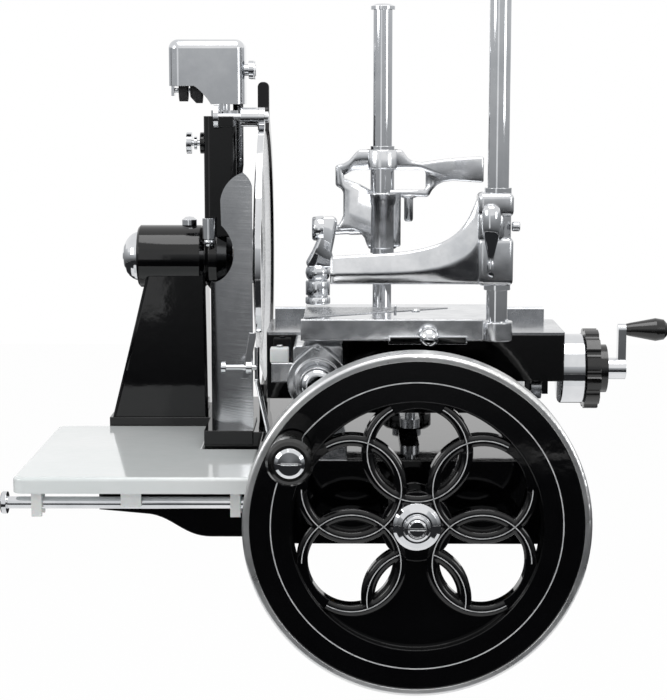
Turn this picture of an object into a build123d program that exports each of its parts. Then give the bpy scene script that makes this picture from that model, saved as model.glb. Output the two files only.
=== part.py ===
from build123d import *
import os
from math import atan2, cos, degrees, radians, sin, sqrt

# Hand-cranked, flywheel-driven meat slicer.  Millimetres, +X to the right of the person at the
# crank, +Y away from them, +Z up.  The origin is the middle of the front part of the base's
# underside, on the line of its fixing bolts.

# ------------------------------------------------------------------ driving dimensions
# clearances
running_gap = 0.05          # shaft in bush, sleeve on bar, all radial
loose_gap = 0.3             # between pieces that move past each other
seat_gap = 0.3              # a loose piece over the thing that carries it

# base casting
bed_height = 109.0
base_right = 260.0
base_front = -240.0
base_back = 240.0
base_wall = 11.0
block_left = -145.0         # left side of the tall front part
ledge_left = -226.0         # left side of the tall rear part
ledge_front = -50.0
shelf_front = -205.0        # low part that runs on under the tray
shelf_curve_start = -205.0
shelf_curve_end = -285.0
shelf_curve_rise = 30.0
toe_left = -351.0
toe_bottom = 36.0
lobe_left = -380.0          # pad under the blade pedestal
lobe_front = 110.0
lobe_height = 100.0
edge_round = 5.0

# fixing bolts through the base's lower flange
bolt_hole_radius = 5.5
bolt_spacing_x = 360.0
bolt_spacing_y = 360.0
bolt_pad = 30.0
bolt_pad_height = 14.0

# flywheel
wheel_x = 58.0
wheel_z = 46.0
wheel_front = -340.0
wheel_depth = 40.0
wheel_tyre = 9.0            # chromed ring round the painted disc
tyre_round = 4.0
rim_inner = 156.0
rim_setback = 2.0
web_lip = 3.0               # of the web, left inside the rim at the windows
web_setback = 14.0
web_depth = 12.0
ring_pitch = 92.8           # hub to the centre of each ornamental ring
ring_outer = 68.4
ring_inner = 54.0
ring_relief = 6.0
lens_radius = 51.6
hub_radius = 44.0
hub_setback = 7.0
hub_depth = 42.0
hub_cap_radius = 29.6
hub_cap_height = 16.0
hub_screw_radius = 11.5
wheel_shaft_radius = 12.0

# flywheel handle
handle_reach = 182.0
handle_inset = 33.0         # from the wheel's edge to the handle's axis
handle_angle = 147.0
grip_length = 86.0
grip_base_radius = 23.0
grip_radius = 28.5
spindle_radius = 8.0
spindle_head_radius = 18.0
spindle_head_height = 9.0
spindle_foot_radius = 15.0
spindle_foot_height = 5.0

# drive inside the base
crank_y = 60.0              # upright crank shaft behind the wheel
crank_pitch_radius = 24.0
crank_throw = 135.0
crank_shaft_radius = 10.0
crank_arm_height = 12.0
crank_arm_width = 26.0
crank_pin_radius = 7.0
crank_pin_height = 8.0
tower_radius = 35.0
tower_height = 12.0
cross_gear_radius = 17.0
wheel_gear_radius = 34.0
gear_face = 9.0
gear_teeth = 18
tooth_depth = 3.0
cross_shaft_radius = 8.0
bush_wall = 5.0
bush_length = 24.0
front_boss_radius = 34.0
front_bush_length = 56.0
hanger_depth = 12.0
hanger_width = 50.0
hanger_bottom = 20.0

# blade, its shaft and its pedestal
blade_y = 150.0
blade_z = 336.0
blade_plane = -150.0        # X of the cutting edge
blade_radius = 185.0
blade_thickness = 3.0
blade_dish = 10.0
blade_bevel = 35.0
blade_hub_radius = 60.0
blade_hub_step = 6.0
blade_shaft_radius = 12.0
blade_flange_radius = 40.0
blade_flange_depth = 4.0
hub_left = -337.0
hub_right = -197.0
hub_outer_radius = 46.0
hub_flange_radius = 49.0
hub_flange_left = -237.0
hub_bore_radius = 37.0
dome_radius = 36.0
dome_height = 25.0
pedestal_front = 112.0
pedestal_depth = 78.0
pedestal_bottom_left = -376.0
pedestal_top_left = -317.0
pedestal_right = -234.0
pedestal_wall = 10.0
chain_x = -300.0
chain_width = 8.0
chain_thickness = 4.5
cross_sprocket_radius = 21.0
blade_sprocket_radius = 14.0

# guards
guard_gap = 7.0             # round the blade
guard_width = 25.0
guard_left = -158.0
guard_thickness = 12.0
guard_tip_angle = 16.2      # back from the top of the blade
guard_end_angle = 197.0     # round the back and past the bottom
horn_left = -163.0
guard_foot_width = 80.0
horn_width = 17.0
horn_depth = 21.0
horn_top = 592.0
edge_guard_gap = 15.0       # round the blade
edge_guard_band = 10.0
edge_guard_left = -154.0
edge_guard_width = 8.0
edge_guard_top_angle = 21.3
edge_guard_end_angle = 115.0
guard_pivot_gap = 35.0      # from the blade's edge to the axis of the pin
pivot_pin_radius = 5.0
pivot_eye_radius = 13.5
pivot_spacer_length = 25.0
pivot_disc_radius = 16.5

# slice deflector, its foot, pin and catch
deflector_thickness = 2.5
deflector_left = -223.0
deflector_right = -158.0
deflector_front = -49.0
deflector_bend = (-196.0, -22.0)
deflector_rear = 45.0
deflector_top = 467.0
deflector_foot_height = 3.0
foot_strip_drop = 17.0
foot_strip_depth = 7.0
deflector_pin_z = 201.0
deflector_pin_y = -58.0
deflector_pin_radius = 4.0
deflector_pin_length = 46.0
deflector_pin_head = 8.0
deflector_pin_thickness = 6.0   # of its head
stay_radius = 3.5
stay_foot_x = -137.0
stay_x = -152.0
stay_knee_z = 183.0
stay_top_z = 229.0
catch_top = (-153.0, 249.0)
catch_bottom = (-169.0, 186.0)
catch_width = 9.0
catch_thickness = 6.0

# slice tray and its rod
tray_left = -456.0
tray_right = -150.0
tray_front = -250.0
tray_back = 108.0
tray_top = 88.0
tray_thickness = 21.0
tray_corner = 14.0
tray_rim = 12.0
tray_plate = 6.0
tray_rod_radius = 7.8
tray_rod_y = -228.0
tray_rod_z = 50.6
tray_knob_radius = 14.4
tray_knob_length = 7.5
tray_rod_end = -473.5
clip_width = 13.0
clip_depth = 28.0
clip_drop = 32.0
clip_left_x = -426.5
clip_right_x = -171.0
tab_x = -305.0
tab_width = 26.0
tab_drop = 19.0

# guide bar, rail and carriage
bar_x = -66.0
bar_z = 206.0
bar_radius = 21.0
bar_front = -245.0
bracket_depth = 18.0
bracket_width = 40.0
front_foot_width = 76.0
front_foot_height = 30.0
sleeve_radius = 36.0
sleeve_front = -205.0
flange_depth = 6.0
flange_radius = 39.0
flange_reach = 42.8
flange_lobe_radius = 6.5
wiper_radius = 30.0
saddle_half = 32.0
saddle_top = 250.0
sleeve_lug_left = -129.0
sleeve_lug_depth = 60.0
sleeve_lug_height = 26.0
rail_x = 232.0
rail_z = 148.0
rail_radius = 8.0
rail_post_radius = 9.0
roller_radius = 16.0
roller_width = 14.0
roller_axle_radius = 5.0
beam_left = -138.0
beam_right = 268.0
beam_front = -76.0
beam_back = 70.0
beam_bottom = 161.0
beam_top = 249.0
beam_wall = 8.0
cover_thickness = 3.0
beam_rail_height = 18.0
beam_rail_depth = 10.0
yoke_height = 17.0
yoke_end = 16.0
beam_step = 150.0
beam_step_bottom = 185.0
tunnel_half = 26.0
tunnel_top = 236.0
roller_y = -45.0
ear_thickness = 8.0
yoke_half_slot = 8.0
yoke_bar = 9.0

# feed screw, drum, knob and crank
screw_y = -3.0
screw_z = 192.0
screw_radius = 8.0
screw_left = -8.0
drum_radius = 48.5
drum_length = 34.0
knob_radius = 56.0
knob_length = 32.0
knob_scallops = 12
feed_hub_radius = 15.0
feed_hub_length = 27.0
feed_throw = 55.0
feed_arm_thickness = 11.0
feed_grip_length = 57.0
feed_grip_radius = 16.0
feed_pin_radius = 4.5

# meat table and its rods
table_left = -87.0
table_right = 180.0
table_front = -230.0
table_back = 57.0
table_top = 275.0
table_thickness = 13.0
apron_height = 14.0
apron_depth = 8.0
rod_radius = 13.5
rod_cap_radius = 17.0
rod_cap_height = 9.0
front_rod_x = 162.0
front_rod_y = -220.0
rear_rod_x = 21.0
rear_rod_y = 40.0
rod_top = 698.0
rod_foot_radius = 20.0
rod_foot_height = 24.0
runner_width = 10.0
nut_length = 30.0
nut_x = 60.0
nut_width = 24.0
feed_left = 40.0            # table travel towards the blade
feed_right = 60.0
lever_x = 75.0
lever_z = 268.5
lever_ball_radius = 13.0
lever_stem_radius = 5.0
lever_slot_length = 97.0
lever_slot_drop = 4.0

# front clamp
clamp_sleeve_wall = 3.5
front_clamp_bottom = 332.6
front_clamp_top = 449.4
front_clamp_left = 135.5
front_clamp_right = 179.0
front_clamp_depth = 46.0
front_arm_left = -50.0
front_arm_end_height = 34.0
front_arm_depth = 24.0
front_arm_knee_x = 8.5      # where its top runs out level
clamp_slot_height = 24.0
cam_z = 418.0
cam_x = 151.0
cam_bulb_radius = 13.0
cam_pin_radius = 6.0
cam_length = 72.0

# rear clamp, link and foot
rear_clamp_bottom = 357.0
rear_clamp_top = 495.0
rear_head_bottom = 436.0
rear_head_depth = 48.0
rear_sleeve_radius = 20.6
rear_wing_left = -45.0
rear_web_left = -36.0
rear_web_bottom = 386.0
stop_pin_x = 58.0
stop_pin_bottom = 395.0
rear_arm_right = 163.0
rear_arm_depth = 26.0
window_left = -32.0
window_right = 65.0
window_bottom = 440.0
window_top = 468.0
link_pin_radius = 6.6
link_pin_z = 378.0
link_left = -67.0
link_right = -50.0
link_boss_radius = 18.0
link_screw_radius = 17.0
link_screw_height = 12.0
foot_x = -70.0
foot_pin_radius = 5.0
link_neck_depth = 20.0
foot_radius = 18.0
foot_bottom = 278.0
foot_top = 336.0

# sharpener
post_left = -237.0
post_right = -190.0
post_front = 112.0
post_back = 165.0
post_knob_y = 135.0
post_knob_z = 503.0
post_knob_radius = 15.5
post_knob_stem = 4.0
post_top = 542.0
sharpener_x = -207.0
sharpener_y = 127.0
sharpener_spindle_radius = 8.0
spindle_sink = 85.0
sharpener_collar_radius = 20.0
cover_left = -285.0
cover_right = -176.0
cover_depth = 70.0
cover_bottom = 559.0
cover_top = 651.0
cover_wall = 4.0
cover_round = 15.0
cover_notch_right = -236.0
cover_notch_rise = 26.0
push_knob_radius = 13.0
push_knob_length = 15.0
stone_z = 579.0
stone_radius = 18.5
stone_axle_radius = 3.5

# ------------------------------------------------------------------ values worked out from them
wheel_back = wheel_front + wheel_depth
wheel_radius = handle_reach + handle_inset
handle_x = wheel_x + handle_reach * cos(radians(handle_angle))
handle_z = wheel_z + handle_reach * sin(radians(handle_angle))
bed_underside = bed_height - base_wall
tray_bottom = tray_top - tray_thickness
shelf_height = tray_bottom - seat_gap
bush_radius = wheel_shaft_radius + bush_wall
crank_bush_radius = crank_shaft_radius + bush_wall
cross_bush_radius = cross_shaft_radius + bush_wall
blade_bush_radius = blade_shaft_radius + bush_wall
tower_top = bed_height + tower_height
crank_arm_bottom = tower_top + loose_gap
crank_arm_top = crank_arm_bottom + crank_arm_height
cover_plate_top = beam_top + cover_thickness
table_bottom = table_top - table_thickness
bar_back = -bar_front
rail_top = rail_z + rail_radius
clamp_bore = rod_radius + clamp_sleeve_wall
yoke_y = crank_y - crank_throw
guard_inner_radius = blade_radius + guard_gap
guard_outer_radius = guard_inner_radius + guard_width
edge_guard_radius = blade_radius + edge_guard_gap
guard_pivot_radius = blade_radius + guard_pivot_gap
pivot_y = blade_y - guard_pivot_radius * sin(radians(edge_guard_top_angle))
pivot_z = blade_z + guard_pivot_radius * cos(radians(edge_guard_top_angle))
drum_right = beam_right + drum_length
knob_left = drum_right + loose_gap
knob_right = knob_left + knob_length
feed_hub_left = knob_right + loose_gap
feed_arm_left = feed_hub_left + feed_hub_length - feed_arm_thickness
feed_grip_left = feed_hub_left + feed_hub_length + loose_gap

os.makedirs("parts", exist_ok=True)


# ------------------------------------------------------------------ planes and plain shapes
def facing_front(x, y, z):
    """Plane through a point that faces the person at the crank: x to the right, y up."""
    return Plane(origin=(x, y, z), x_dir=(1, 0, 0), z_dir=(0, -1, 0))


def facing_right(x, y, z):
    """Plane through a point that faces right: x away from the person, y up."""
    return Plane(origin=(x, y, z), x_dir=(0, 1, 0), z_dir=(1, 0, 0))


def facing_up(x, y, z):
    """Level plane through a point."""
    return Plane(origin=(x, y, z), x_dir=(1, 0, 0), z_dir=(0, 0, 1))


def towards_front(x, y, z):
    """Turning plane: x runs along the axis towards the person, y is the radius."""
    return Plane(origin=(x, y, z), x_dir=(0, -1, 0), z_dir=(-1, 0, 0))


def upwards(x, y, z):
    """Turning plane: x runs up the axis, y is the radius."""
    return Plane(origin=(x, y, z), x_dir=(0, 0, 1), z_dir=(0, 1, 0))


def disc(plane, radius, bore=0.0):
    """Round face, with a round hole if a bore is given."""
    with BuildSketch(plane) as face:
        Circle(radius)
        if bore > 0:
            Circle(bore, mode=Mode.SUBTRACT)
    return face.sketch


def outline(plane, points):
    """Face inside a closed run of straight lines."""
    with BuildSketch(plane) as face:
        with BuildLine():
            Polyline(*points, close=True)
        make_face()
    return face.sketch


def bar(plane, radius, length, bore=0.0, mode=Mode.ADD):
    """Round bar or tube that stands on a plane."""
    extrude(disc(plane, radius, bore), amount=length, mode=mode)


def brick(x0, x1, y0, y1, z0, z1, mode=Mode.ADD):
    """Block between two opposite corners."""
    corners = [(x0, y0), (x1, y0), (x1, y1), (x0, y1)]
    extrude(outline(Plane.XY.offset(z0), corners), amount=z1 - z0, mode=mode)


def turned(plane, points, mode=Mode.ADD):
    """Solid of revolution about the plane's own x axis."""
    revolve(outline(plane, points), axis=Axis(plane.origin, plane.x_dir), mode=mode)


def toothed(plane, radius, depth, teeth):
    """Gear or sprocket outline with flat-topped teeth."""
    step = 360.0 / teeth
    points = []
    for tooth in range(teeth):
        for share, reach in ((-0.33, radius - depth), (-0.17, radius), (0.17, radius), (0.33, radius - depth)):
            angle = radians((tooth + share) * step)
            points.append((reach * cos(angle), reach * sin(angle)))
    return outline(plane, points)


def bevel_gear(plane, outer_radius, mate_radius, face_depth):
    """Toothed cone whose wide end lies on the plane and whose tip lies mate_radius beyond it."""
    shrink = 1 - face_depth / mate_radius
    wide = toothed(plane, outer_radius - loose_gap, tooth_depth, gear_teeth)
    narrow = toothed(
        plane.offset(face_depth), (outer_radius - loose_gap) * shrink, tooth_depth * shrink, gear_teeth
    )
    loft([wide, narrow], ruled=True)


def around_blade(radius, angle):
    """Point at an angle from the top of the blade, positive towards the front."""
    return (-radius * sin(radians(angle)), radius * cos(radians(angle)))


def arc_band(plane, inner, outer, start, end):
    """Curved band about the blade's axis, from one angle to another."""
    middle = (start + end) / 2
    with BuildSketch(plane) as face:
        with BuildLine():
            outer_arc = ThreePointArc(
                around_blade(outer, start), around_blade(outer, middle), around_blade(outer, end)
            )
            inner_arc = ThreePointArc(
                around_blade(inner, start), around_blade(inner, middle), around_blade(inner, end)
            )
            Line(outer_arc @ 1, inner_arc @ 1)
            Line(inner_arc @ 0, outer_arc @ 0)
        make_face()
    return face.sketch


# ------------------------------------------------------------------ base casting
# One hollow iron casting, open below: a tall block under the carriage, a tall ledge beside the
# blade, a low shelf that runs out in a toe under the tray and a lobe under the pedestal.
with BuildPart() as base_casting:
    with BuildSketch(facing_front(0, base_back, 0)) as base_section:
        with BuildLine():
            under = Line((base_right, 0), (shelf_curve_start, 0))
            rise = Spline(
                under @ 1,
                (shelf_curve_end, shelf_curve_rise),
                tangents=[(-1, 0), (-1, 0.15)],
            )
            toe = Line(rise @ 1, (toe_left, toe_bottom))
            front = Line(toe @ 1, (toe_left, shelf_height))
            Line(front @ 1, (base_right, shelf_height))
            Line((base_right, shelf_height), under @ 0)
        make_face()
    extrude(amount=base_back - shelf_front)
    brick(block_left, base_right, base_front, base_back, 0, bed_height)
    brick(ledge_left, block_left, ledge_front, base_back, shelf_height, bed_height)
    brick(lobe_left, shelf_curve_start, lobe_front, base_back, 0, lobe_height)
    upright_edges = base_casting.edges().filter_by(Axis.Z)
    fillet(upright_edges.filter_by(lambda edge: edge.length > bed_height - 1), radius=edge_round * 2)
    # hollow under the bed, the ledge and the shelf
    brick(
        shelf_curve_start + base_wall, base_right - base_wall,
        shelf_front + base_wall, base_back - base_wall,
        0, shelf_height - base_wall, mode=Mode.SUBTRACT,
    )
    brick(
        block_left + base_wall, base_right - base_wall,
        base_front + base_wall, base_back - base_wall,
        0, bed_underside, mode=Mode.SUBTRACT,
    )
    brick(
        ledge_left + base_wall, block_left + base_wall,
        ledge_front + base_wall, base_back - base_wall,
        shelf_height - base_wall, bed_underside, mode=Mode.SUBTRACT,
    )
    # hollow of the lobe, with a slot for the chain up into the pedestal
    brick(
        lobe_left + base_wall, shelf_curve_start - base_wall,
        lobe_front + base_wall, base_back - base_wall,
        0, lobe_height - base_wall, mode=Mode.SUBTRACT,
    )
    brick(
        chain_x - cross_sprocket_radius, chain_x + cross_sprocket_radius,
        pedestal_front + pedestal_wall, pedestal_front + pedestal_depth - pedestal_wall,
        lobe_height - base_wall, lobe_height, mode=Mode.SUBTRACT,
    )
    # hangers under the bed that carry the flywheel shaft and the cross shaft
    for hanger_y in (ledge_front - hanger_depth, crank_y + crank_pitch_radius + hanger_depth):
        brick(
            wheel_x - hanger_width / 2, wheel_x + hanger_width / 2,
            hanger_y, hanger_y + hanger_depth, hanger_bottom, bed_underside,
        )
    brick(
        wheel_x - hanger_width - hanger_depth, wheel_x - hanger_width,
        blade_y - hanger_width / 2, blade_y + hanger_width / 2, hanger_bottom, bed_underside,
    )
    # boss of the front bearing, and the bores
    bar(facing_front(wheel_x, base_front + base_wall, wheel_z), front_boss_radius, front_bush_length)
    bar(
        facing_front(wheel_x, blade_y - wheel_gear_radius, wheel_z),
        bush_radius, blade_y - base_front + front_bush_length, mode=Mode.SUBTRACT,
    )
    bar(
        facing_right(chain_x, blade_y, wheel_z), cross_bush_radius,
        wheel_x - wheel_gear_radius - chain_x, mode=Mode.SUBTRACT,
    )
    bar(facing_up(wheel_x, crank_y, bed_underside), crank_bush_radius, base_wall, mode=Mode.SUBTRACT)
    bar(
        facing_right(block_left, tray_rod_y, tray_rod_z), tray_rod_radius + running_gap,
        base_wall, mode=Mode.SUBTRACT,
    )
    # pads along the front and back walls of the hollow, with the four fixing holes
    for side, front_wall in ((-1, shelf_front), (1, base_front)):
        pad_x = side * bolt_spacing_x / 2
        brick(
            pad_x - bolt_pad / 2, pad_x + bolt_pad / 2,
            front_wall + base_wall - 1, (bolt_pad - bolt_spacing_y) / 2, 0, bolt_pad_height,
        )
        brick(
            pad_x - bolt_pad / 2, pad_x + bolt_pad / 2,
            (bolt_spacing_y - bolt_pad) / 2, base_back - base_wall + 1, 0, bolt_pad_height,
        )
        for end in (-1, 1):
            bar(
                facing_up(pad_x, end * bolt_spacing_y / 2, 0), bolt_hole_radius,
                bolt_pad_height, mode=Mode.SUBTRACT,
            )
base_casting.part.label = "base_casting"
export_step(base_casting.part, "parts/base_casting.step")

# ------------------------------------------------------------------ blade pedestal and hub
# Tapered hollow column with the bearing housing of the blade shaft across its top.
with BuildPart() as blade_pedestal:
    with BuildSketch(facing_front(0, pedestal_front + pedestal_depth, 0)) as column_face:
        with BuildLine():
            left_side = ThreePointArc(
                (pedestal_bottom_left, lobe_height),
                (pedestal_bottom_left + 24, lobe_height + 95),
                (pedestal_top_left, blade_z),
            )
            Line(left_side @ 1, (hub_flange_left, blade_z))
            Line((hub_flange_left, blade_z), (pedestal_right, lobe_height))
            Line((pedestal_right, lobe_height), left_side @ 0)
        make_face()
    extrude(amount=pedestal_depth)
    fillet(blade_pedestal.faces().sort_by(Axis.Y)[0].edges().filter_by(Axis.X, reverse=True), radius=edge_round)
    turned(
        facing_front(0, blade_y, blade_z),
        [
            (hub_left, 0), (hub_left, hub_outer_radius - 3), (hub_left + 3, hub_outer_radius),
            (hub_flange_left - 8, hub_outer_radius), (hub_flange_left, hub_outer_radius - 4),
            (hub_flange_left + 6, hub_flange_radius), (hub_right - 22, hub_flange_radius),
            (hub_right - 8, hub_flange_radius - 7), (hub_right, hub_flange_radius - 22), (hub_right, 0),
        ],
    )
    bar(
        facing_right(hub_left, blade_y, blade_z), blade_bush_radius,
        hub_right - hub_left, mode=Mode.SUBTRACT,
    )
    bar(
        facing_right(hub_left + bush_length, blade_y, blade_z), hub_bore_radius,
        hub_right - hub_left - 2 * bush_length, mode=Mode.SUBTRACT,
    )
    brick(
        chain_x - cross_sprocket_radius, chain_x + cross_sprocket_radius,
        pedestal_front + pedestal_wall, pedestal_front + pedestal_depth - pedestal_wall,
        lobe_height, blade_z, mode=Mode.SUBTRACT,
    )
blade_pedestal.part.label = "blade_pedestal"
export_step(blade_pedestal.part, "parts/blade_pedestal.step")

# domed cover over the left end of the blade shaft
with BuildPart() as hub_dome:
    dome_steps = 8
    dome_points = [(hub_left, 0)]
    for step in range(dome_steps + 1):
        turn = radians(90.0 * step / dome_steps)
        dome_points.append((hub_left - dome_height * sin(turn), dome_radius * cos(turn)))
    turned(facing_front(0, blade_y, blade_z), dome_points)
hub_dome.part.label = "hub_dome"
export_step(hub_dome.part, "parts/hub_dome.step")

# spring-lid oil cup on top of the hub and an elbow oiler on its front shoulder
oiler_direction = sqrt(46.0**2 + 22.0**2)
oiler_y = blade_y - (hub_flange_radius + 8.0) * 46.0 / oiler_direction
oiler_z = blade_z + (hub_flange_radius + 8.0) * 22.0 / oiler_direction
with BuildPart() as oil_cups:
    turned(
        upwards(hub_flange_left - 25, blade_y, blade_z + hub_outer_radius),
        [(-1, 0), (-1, 7), (0, 7), (0, 11), (8, 11), (12, 6), (13, 0)],
    )
    brick(
        hub_flange_left - 32, hub_flange_left - 18, blade_y - 12, blade_y + 12,
        blade_z + hub_outer_radius - 3, blade_z + hub_outer_radius, mode=Mode.SUBTRACT,
    )
    with Locations((hub_flange_left + 8, oiler_y, oiler_z)):
        Sphere(8.0)
    bar(facing_up(hub_flange_left + 8, oiler_y, oiler_z + 5), 9.5, 30)
oil_cups.part.label = "oil_cups"
export_step(oil_cups.part, "parts/oil_cups.step")

# ------------------------------------------------------------------ blade and its shaft
with BuildPart() as slicing_blade:
    turned(
        facing_front(blade_plane, blade_y, blade_z),
        [
            (0, blade_radius), (-blade_dish, blade_radius - blade_bevel), (-blade_dish, blade_hub_radius),
            (-blade_dish - blade_hub_step, blade_hub_radius - 5), (-blade_dish - blade_hub_step, 0),
            (-blade_dish - blade_hub_step + blade_thickness + 1, 0),
            (-blade_dish - blade_hub_step + blade_thickness + 1, blade_hub_radius - 7),
            (-blade_dish + blade_thickness, blade_hub_radius - 1),
            (-blade_dish + blade_thickness, blade_radius - blade_bevel - 1),
        ],
    )
slicing_blade.part.label = "slicing_blade"
export_step(slicing_blade.part, "parts/slicing_blade.step")

blade_seat = blade_plane - blade_dish - blade_hub_step
with BuildPart() as blade_shaft:
    bar(facing_right(hub_left + 2, blade_y, blade_z), blade_shaft_radius, blade_seat - hub_left - 2)
    bar(
        facing_right(blade_seat - blade_flange_depth, blade_y, blade_z),
        blade_flange_radius, blade_flange_depth,
    )
blade_shaft.part.label = "blade_shaft"
export_step(blade_shaft.part, "parts/blade_shaft.step")

with BuildPart() as blade_sprocket:
    extrude(
        toothed(
            facing_right(chain_x - chain_width / 2 + 1, blade_y, blade_z),
            blade_sprocket_radius, 1.5, 12,
        ),
        amount=chain_width - 2,
    )
    bar(
        facing_right(chain_x - chain_width / 2, blade_y, blade_z),
        blade_shaft_radius, chain_width, mode=Mode.SUBTRACT,
    )
blade_sprocket.part.label = "blade_sprocket"
export_step(blade_sprocket.part, "parts/blade_sprocket.step")

# ------------------------------------------------------------------ blade guards
# Fixed C-shaped guard round the back of the blade, with a foot on the bed and a horn on top.
guard_mid_radius = (guard_inner_radius + guard_outer_radius) / 2
horn_front = blade_y + guard_mid_radius * sin(radians(guard_tip_angle))
horn_bottom = blade_z + guard_inner_radius * cos(radians(guard_tip_angle))
with BuildPart() as blade_guard:
    extrude(
        arc_band(
            facing_right(guard_left, blade_y, blade_z),
            guard_inner_radius, guard_outer_radius, -guard_tip_angle, -guard_end_angle,
        ),
        amount=guard_thickness,
    )
    brick(
        horn_left, horn_left + horn_width, horn_front, horn_front + horn_depth, horn_bottom, horn_top,
    )
    fillet(blade_guard.edges().filter_by(Axis.Y).sort_by(Axis.Z)[-2:], radius=horn_width / 2 - 1)
    brick(
        guard_left, guard_left + guard_thickness,
        blade_y - guard_foot_width / 2, blade_y + guard_foot_width / 2,
        bed_height, blade_z - guard_mid_radius,
    )
blade_guard.part.label = "blade_guard"
export_step(blade_guard.part, "parts/blade_guard.step")

# Pin of the swinging edge guard, with its spacer, lock nut and knurled disc in one stack.
pivot_left = post_right - 24.0
with BuildPart() as guard_pivot:
    bar(
        facing_right(pivot_left, pivot_y, pivot_z), pivot_pin_radius - running_gap,
        edge_guard_left + edge_guard_width + 6 - pivot_left,
    )
    bar(facing_right(pivot_left - 4, pivot_y, pivot_z), pivot_disc_radius, 7)
    bar(
        facing_right(edge_guard_left - loose_gap - pivot_spacer_length, pivot_y, pivot_z),
        pivot_eye_radius, pivot_spacer_length,
    )
    bar(facing_right(edge_guard_left + edge_guard_width + loose_gap, pivot_y, pivot_z), 8, 5)
guard_pivot.part.label = "guard_pivot"
export_step(guard_pivot.part, "parts/guard_pivot.step")

# Arc-shaped bar that covers the cutting edge in front, hung from the pin.
with BuildPart() as edge_guard:
    extrude(
        arc_band(
            facing_right(edge_guard_left, blade_y, blade_z),
            edge_guard_radius, edge_guard_radius + edge_guard_band,
            edge_guard_top_angle - 2.5, edge_guard_end_angle,
        ),
        amount=edge_guard_width,
    )
    bar(facing_right(edge_guard_left, pivot_y, pivot_z), pivot_eye_radius, edge_guard_width)
    bar(
        facing_right(edge_guard_left, pivot_y, pivot_z), pivot_pin_radius,
        edge_guard_width, mode=Mode.SUBTRACT,
    )
edge_guard.part.label = "edge_guard"
export_step(edge_guard.part, "parts/edge_guard.step")

# ------------------------------------------------------------------ slice deflector
def circle_through(first, middle, last):
    """Centre and radius of the circle through three points."""
    ax, ay = first
    bx, by = middle
    cx, cy = last
    twice = 2 * (ax * (by - cy) + bx * (cy - ay) + cx * (ay - by))
    a_square = ax * ax + ay * ay
    b_square = bx * bx + by * by
    c_square = cx * cx + cy * cy
    x = (a_square * (by - cy) + b_square * (cy - ay) + c_square * (ay - by)) / twice
    y = (a_square * (cx - bx) + b_square * (ax - cx) + c_square * (bx - ax)) / twice
    return x, y, sqrt((ax - x) ** 2 + (ay - y) ** 2)


# Curved sheet between blade and tray: an upright wall that bends round to the left and back, cut
# at the top to the outline that clears the hub.
deflector_bottom = bed_height + deflector_foot_height
bend_x, bend_y, bend_radius = circle_through(
    (deflector_right, deflector_front), deflector_bend, (deflector_left, deflector_rear)
)
with BuildPart() as slice_deflector:
    extrude(
        disc(facing_up(bend_x, bend_y, deflector_bottom), bend_radius, bend_radius - deflector_thickness),
        amount=deflector_top - deflector_bottom,
    )
    brick(
        deflector_left, deflector_right, deflector_front, deflector_rear,
        deflector_bottom, deflector_top, mode=Mode.INTERSECT,
    )
    with BuildSketch(facing_front(0, deflector_rear, 0)) as sheet_outline:
        with BuildLine():
            left_edge = Line((deflector_left, deflector_bottom), (deflector_left, blade_z - 27))
            hub_notch = ThreePointArc(
                left_edge @ 1, (deflector_left + 38, blade_z + 14), (deflector_left + 20, blade_z + 57)
            )
            shoulder = Line(hub_notch @ 1, (deflector_left + 19, deflector_top - 39))
            crown = ThreePointArc(
                shoulder @ 1,
                (deflector_left + 33, deflector_top - 12),
                (deflector_right - 13, deflector_top),
            )
            fall = ThreePointArc(
                crown @ 1, (deflector_right - 4, deflector_top - 9), (deflector_right, deflector_top - 32)
            )
            right_edge = Line(fall @ 1, (deflector_right, deflector_bottom))
            Line(right_edge @ 1, left_edge @ 0)
        make_face()
    extrude(amount=deflector_rear - deflector_front, mode=Mode.INTERSECT)
slice_deflector.part.label = "slice_deflector"
export_step(slice_deflector.part, "parts/slice_deflector.step")

# foot plate on the ledge, with a strip that folds down over its front edge
strip_front = ledge_front - foot_strip_depth
with BuildPart() as deflector_foot:
    brick(
        ledge_left, guard_left - loose_gap, strip_front, deflector_rear + 4,
        bed_height, deflector_bottom,
    )
    brick(
        ledge_left, guard_left - loose_gap, strip_front, ledge_front,
        bed_height - foot_strip_drop, bed_height,
    )
deflector_foot.part.label = "deflector_foot"
export_step(deflector_foot.part, "parts/deflector_foot.step")

# bent rod that rises from the bed beside the blade, with the cross pin of the catch
with BuildPart() as guard_stay:
    stay_lean = atan2(stay_foot_x - stay_x, stay_knee_z - bed_height)
    lean_length = sqrt((stay_foot_x - stay_x) ** 2 + (stay_knee_z - bed_height) ** 2)
    lean = (-sin(stay_lean), 0, cos(stay_lean))
    bar(
        Plane(
            origin=(stay_foot_x, deflector_pin_y, bed_height - 0.01), x_dir=(0, 1, 0), z_dir=lean
        ),
        stay_radius, lean_length,
    )
    with Locations((stay_x, deflector_pin_y, stay_knee_z)):
        Sphere(stay_radius + 0.4)
    bar(
        facing_up(stay_x, deflector_pin_y, stay_knee_z), stay_radius, stay_top_z - stay_knee_z
    )
    brick(
        stay_foot_x - 2 * stay_radius, stay_foot_x + 2 * stay_radius,
        deflector_pin_y - 2 * stay_radius, deflector_pin_y + 2 * stay_radius,
        bed_height - 2, bed_height, mode=Mode.SUBTRACT,
    )
    bar(
        facing_right(stay_x - deflector_pin_length, deflector_pin_y, deflector_pin_z),
        deflector_pin_radius - running_gap, deflector_pin_length,
    )
    bar(
        facing_right(
            stay_x - deflector_pin_length - deflector_pin_thickness / 2, deflector_pin_y, deflector_pin_z
        ),
        deflector_pin_head, deflector_pin_thickness,
    )
guard_stay.part.label = "guard_stay"
export_step(guard_stay.part, "parts/guard_stay.step")

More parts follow.
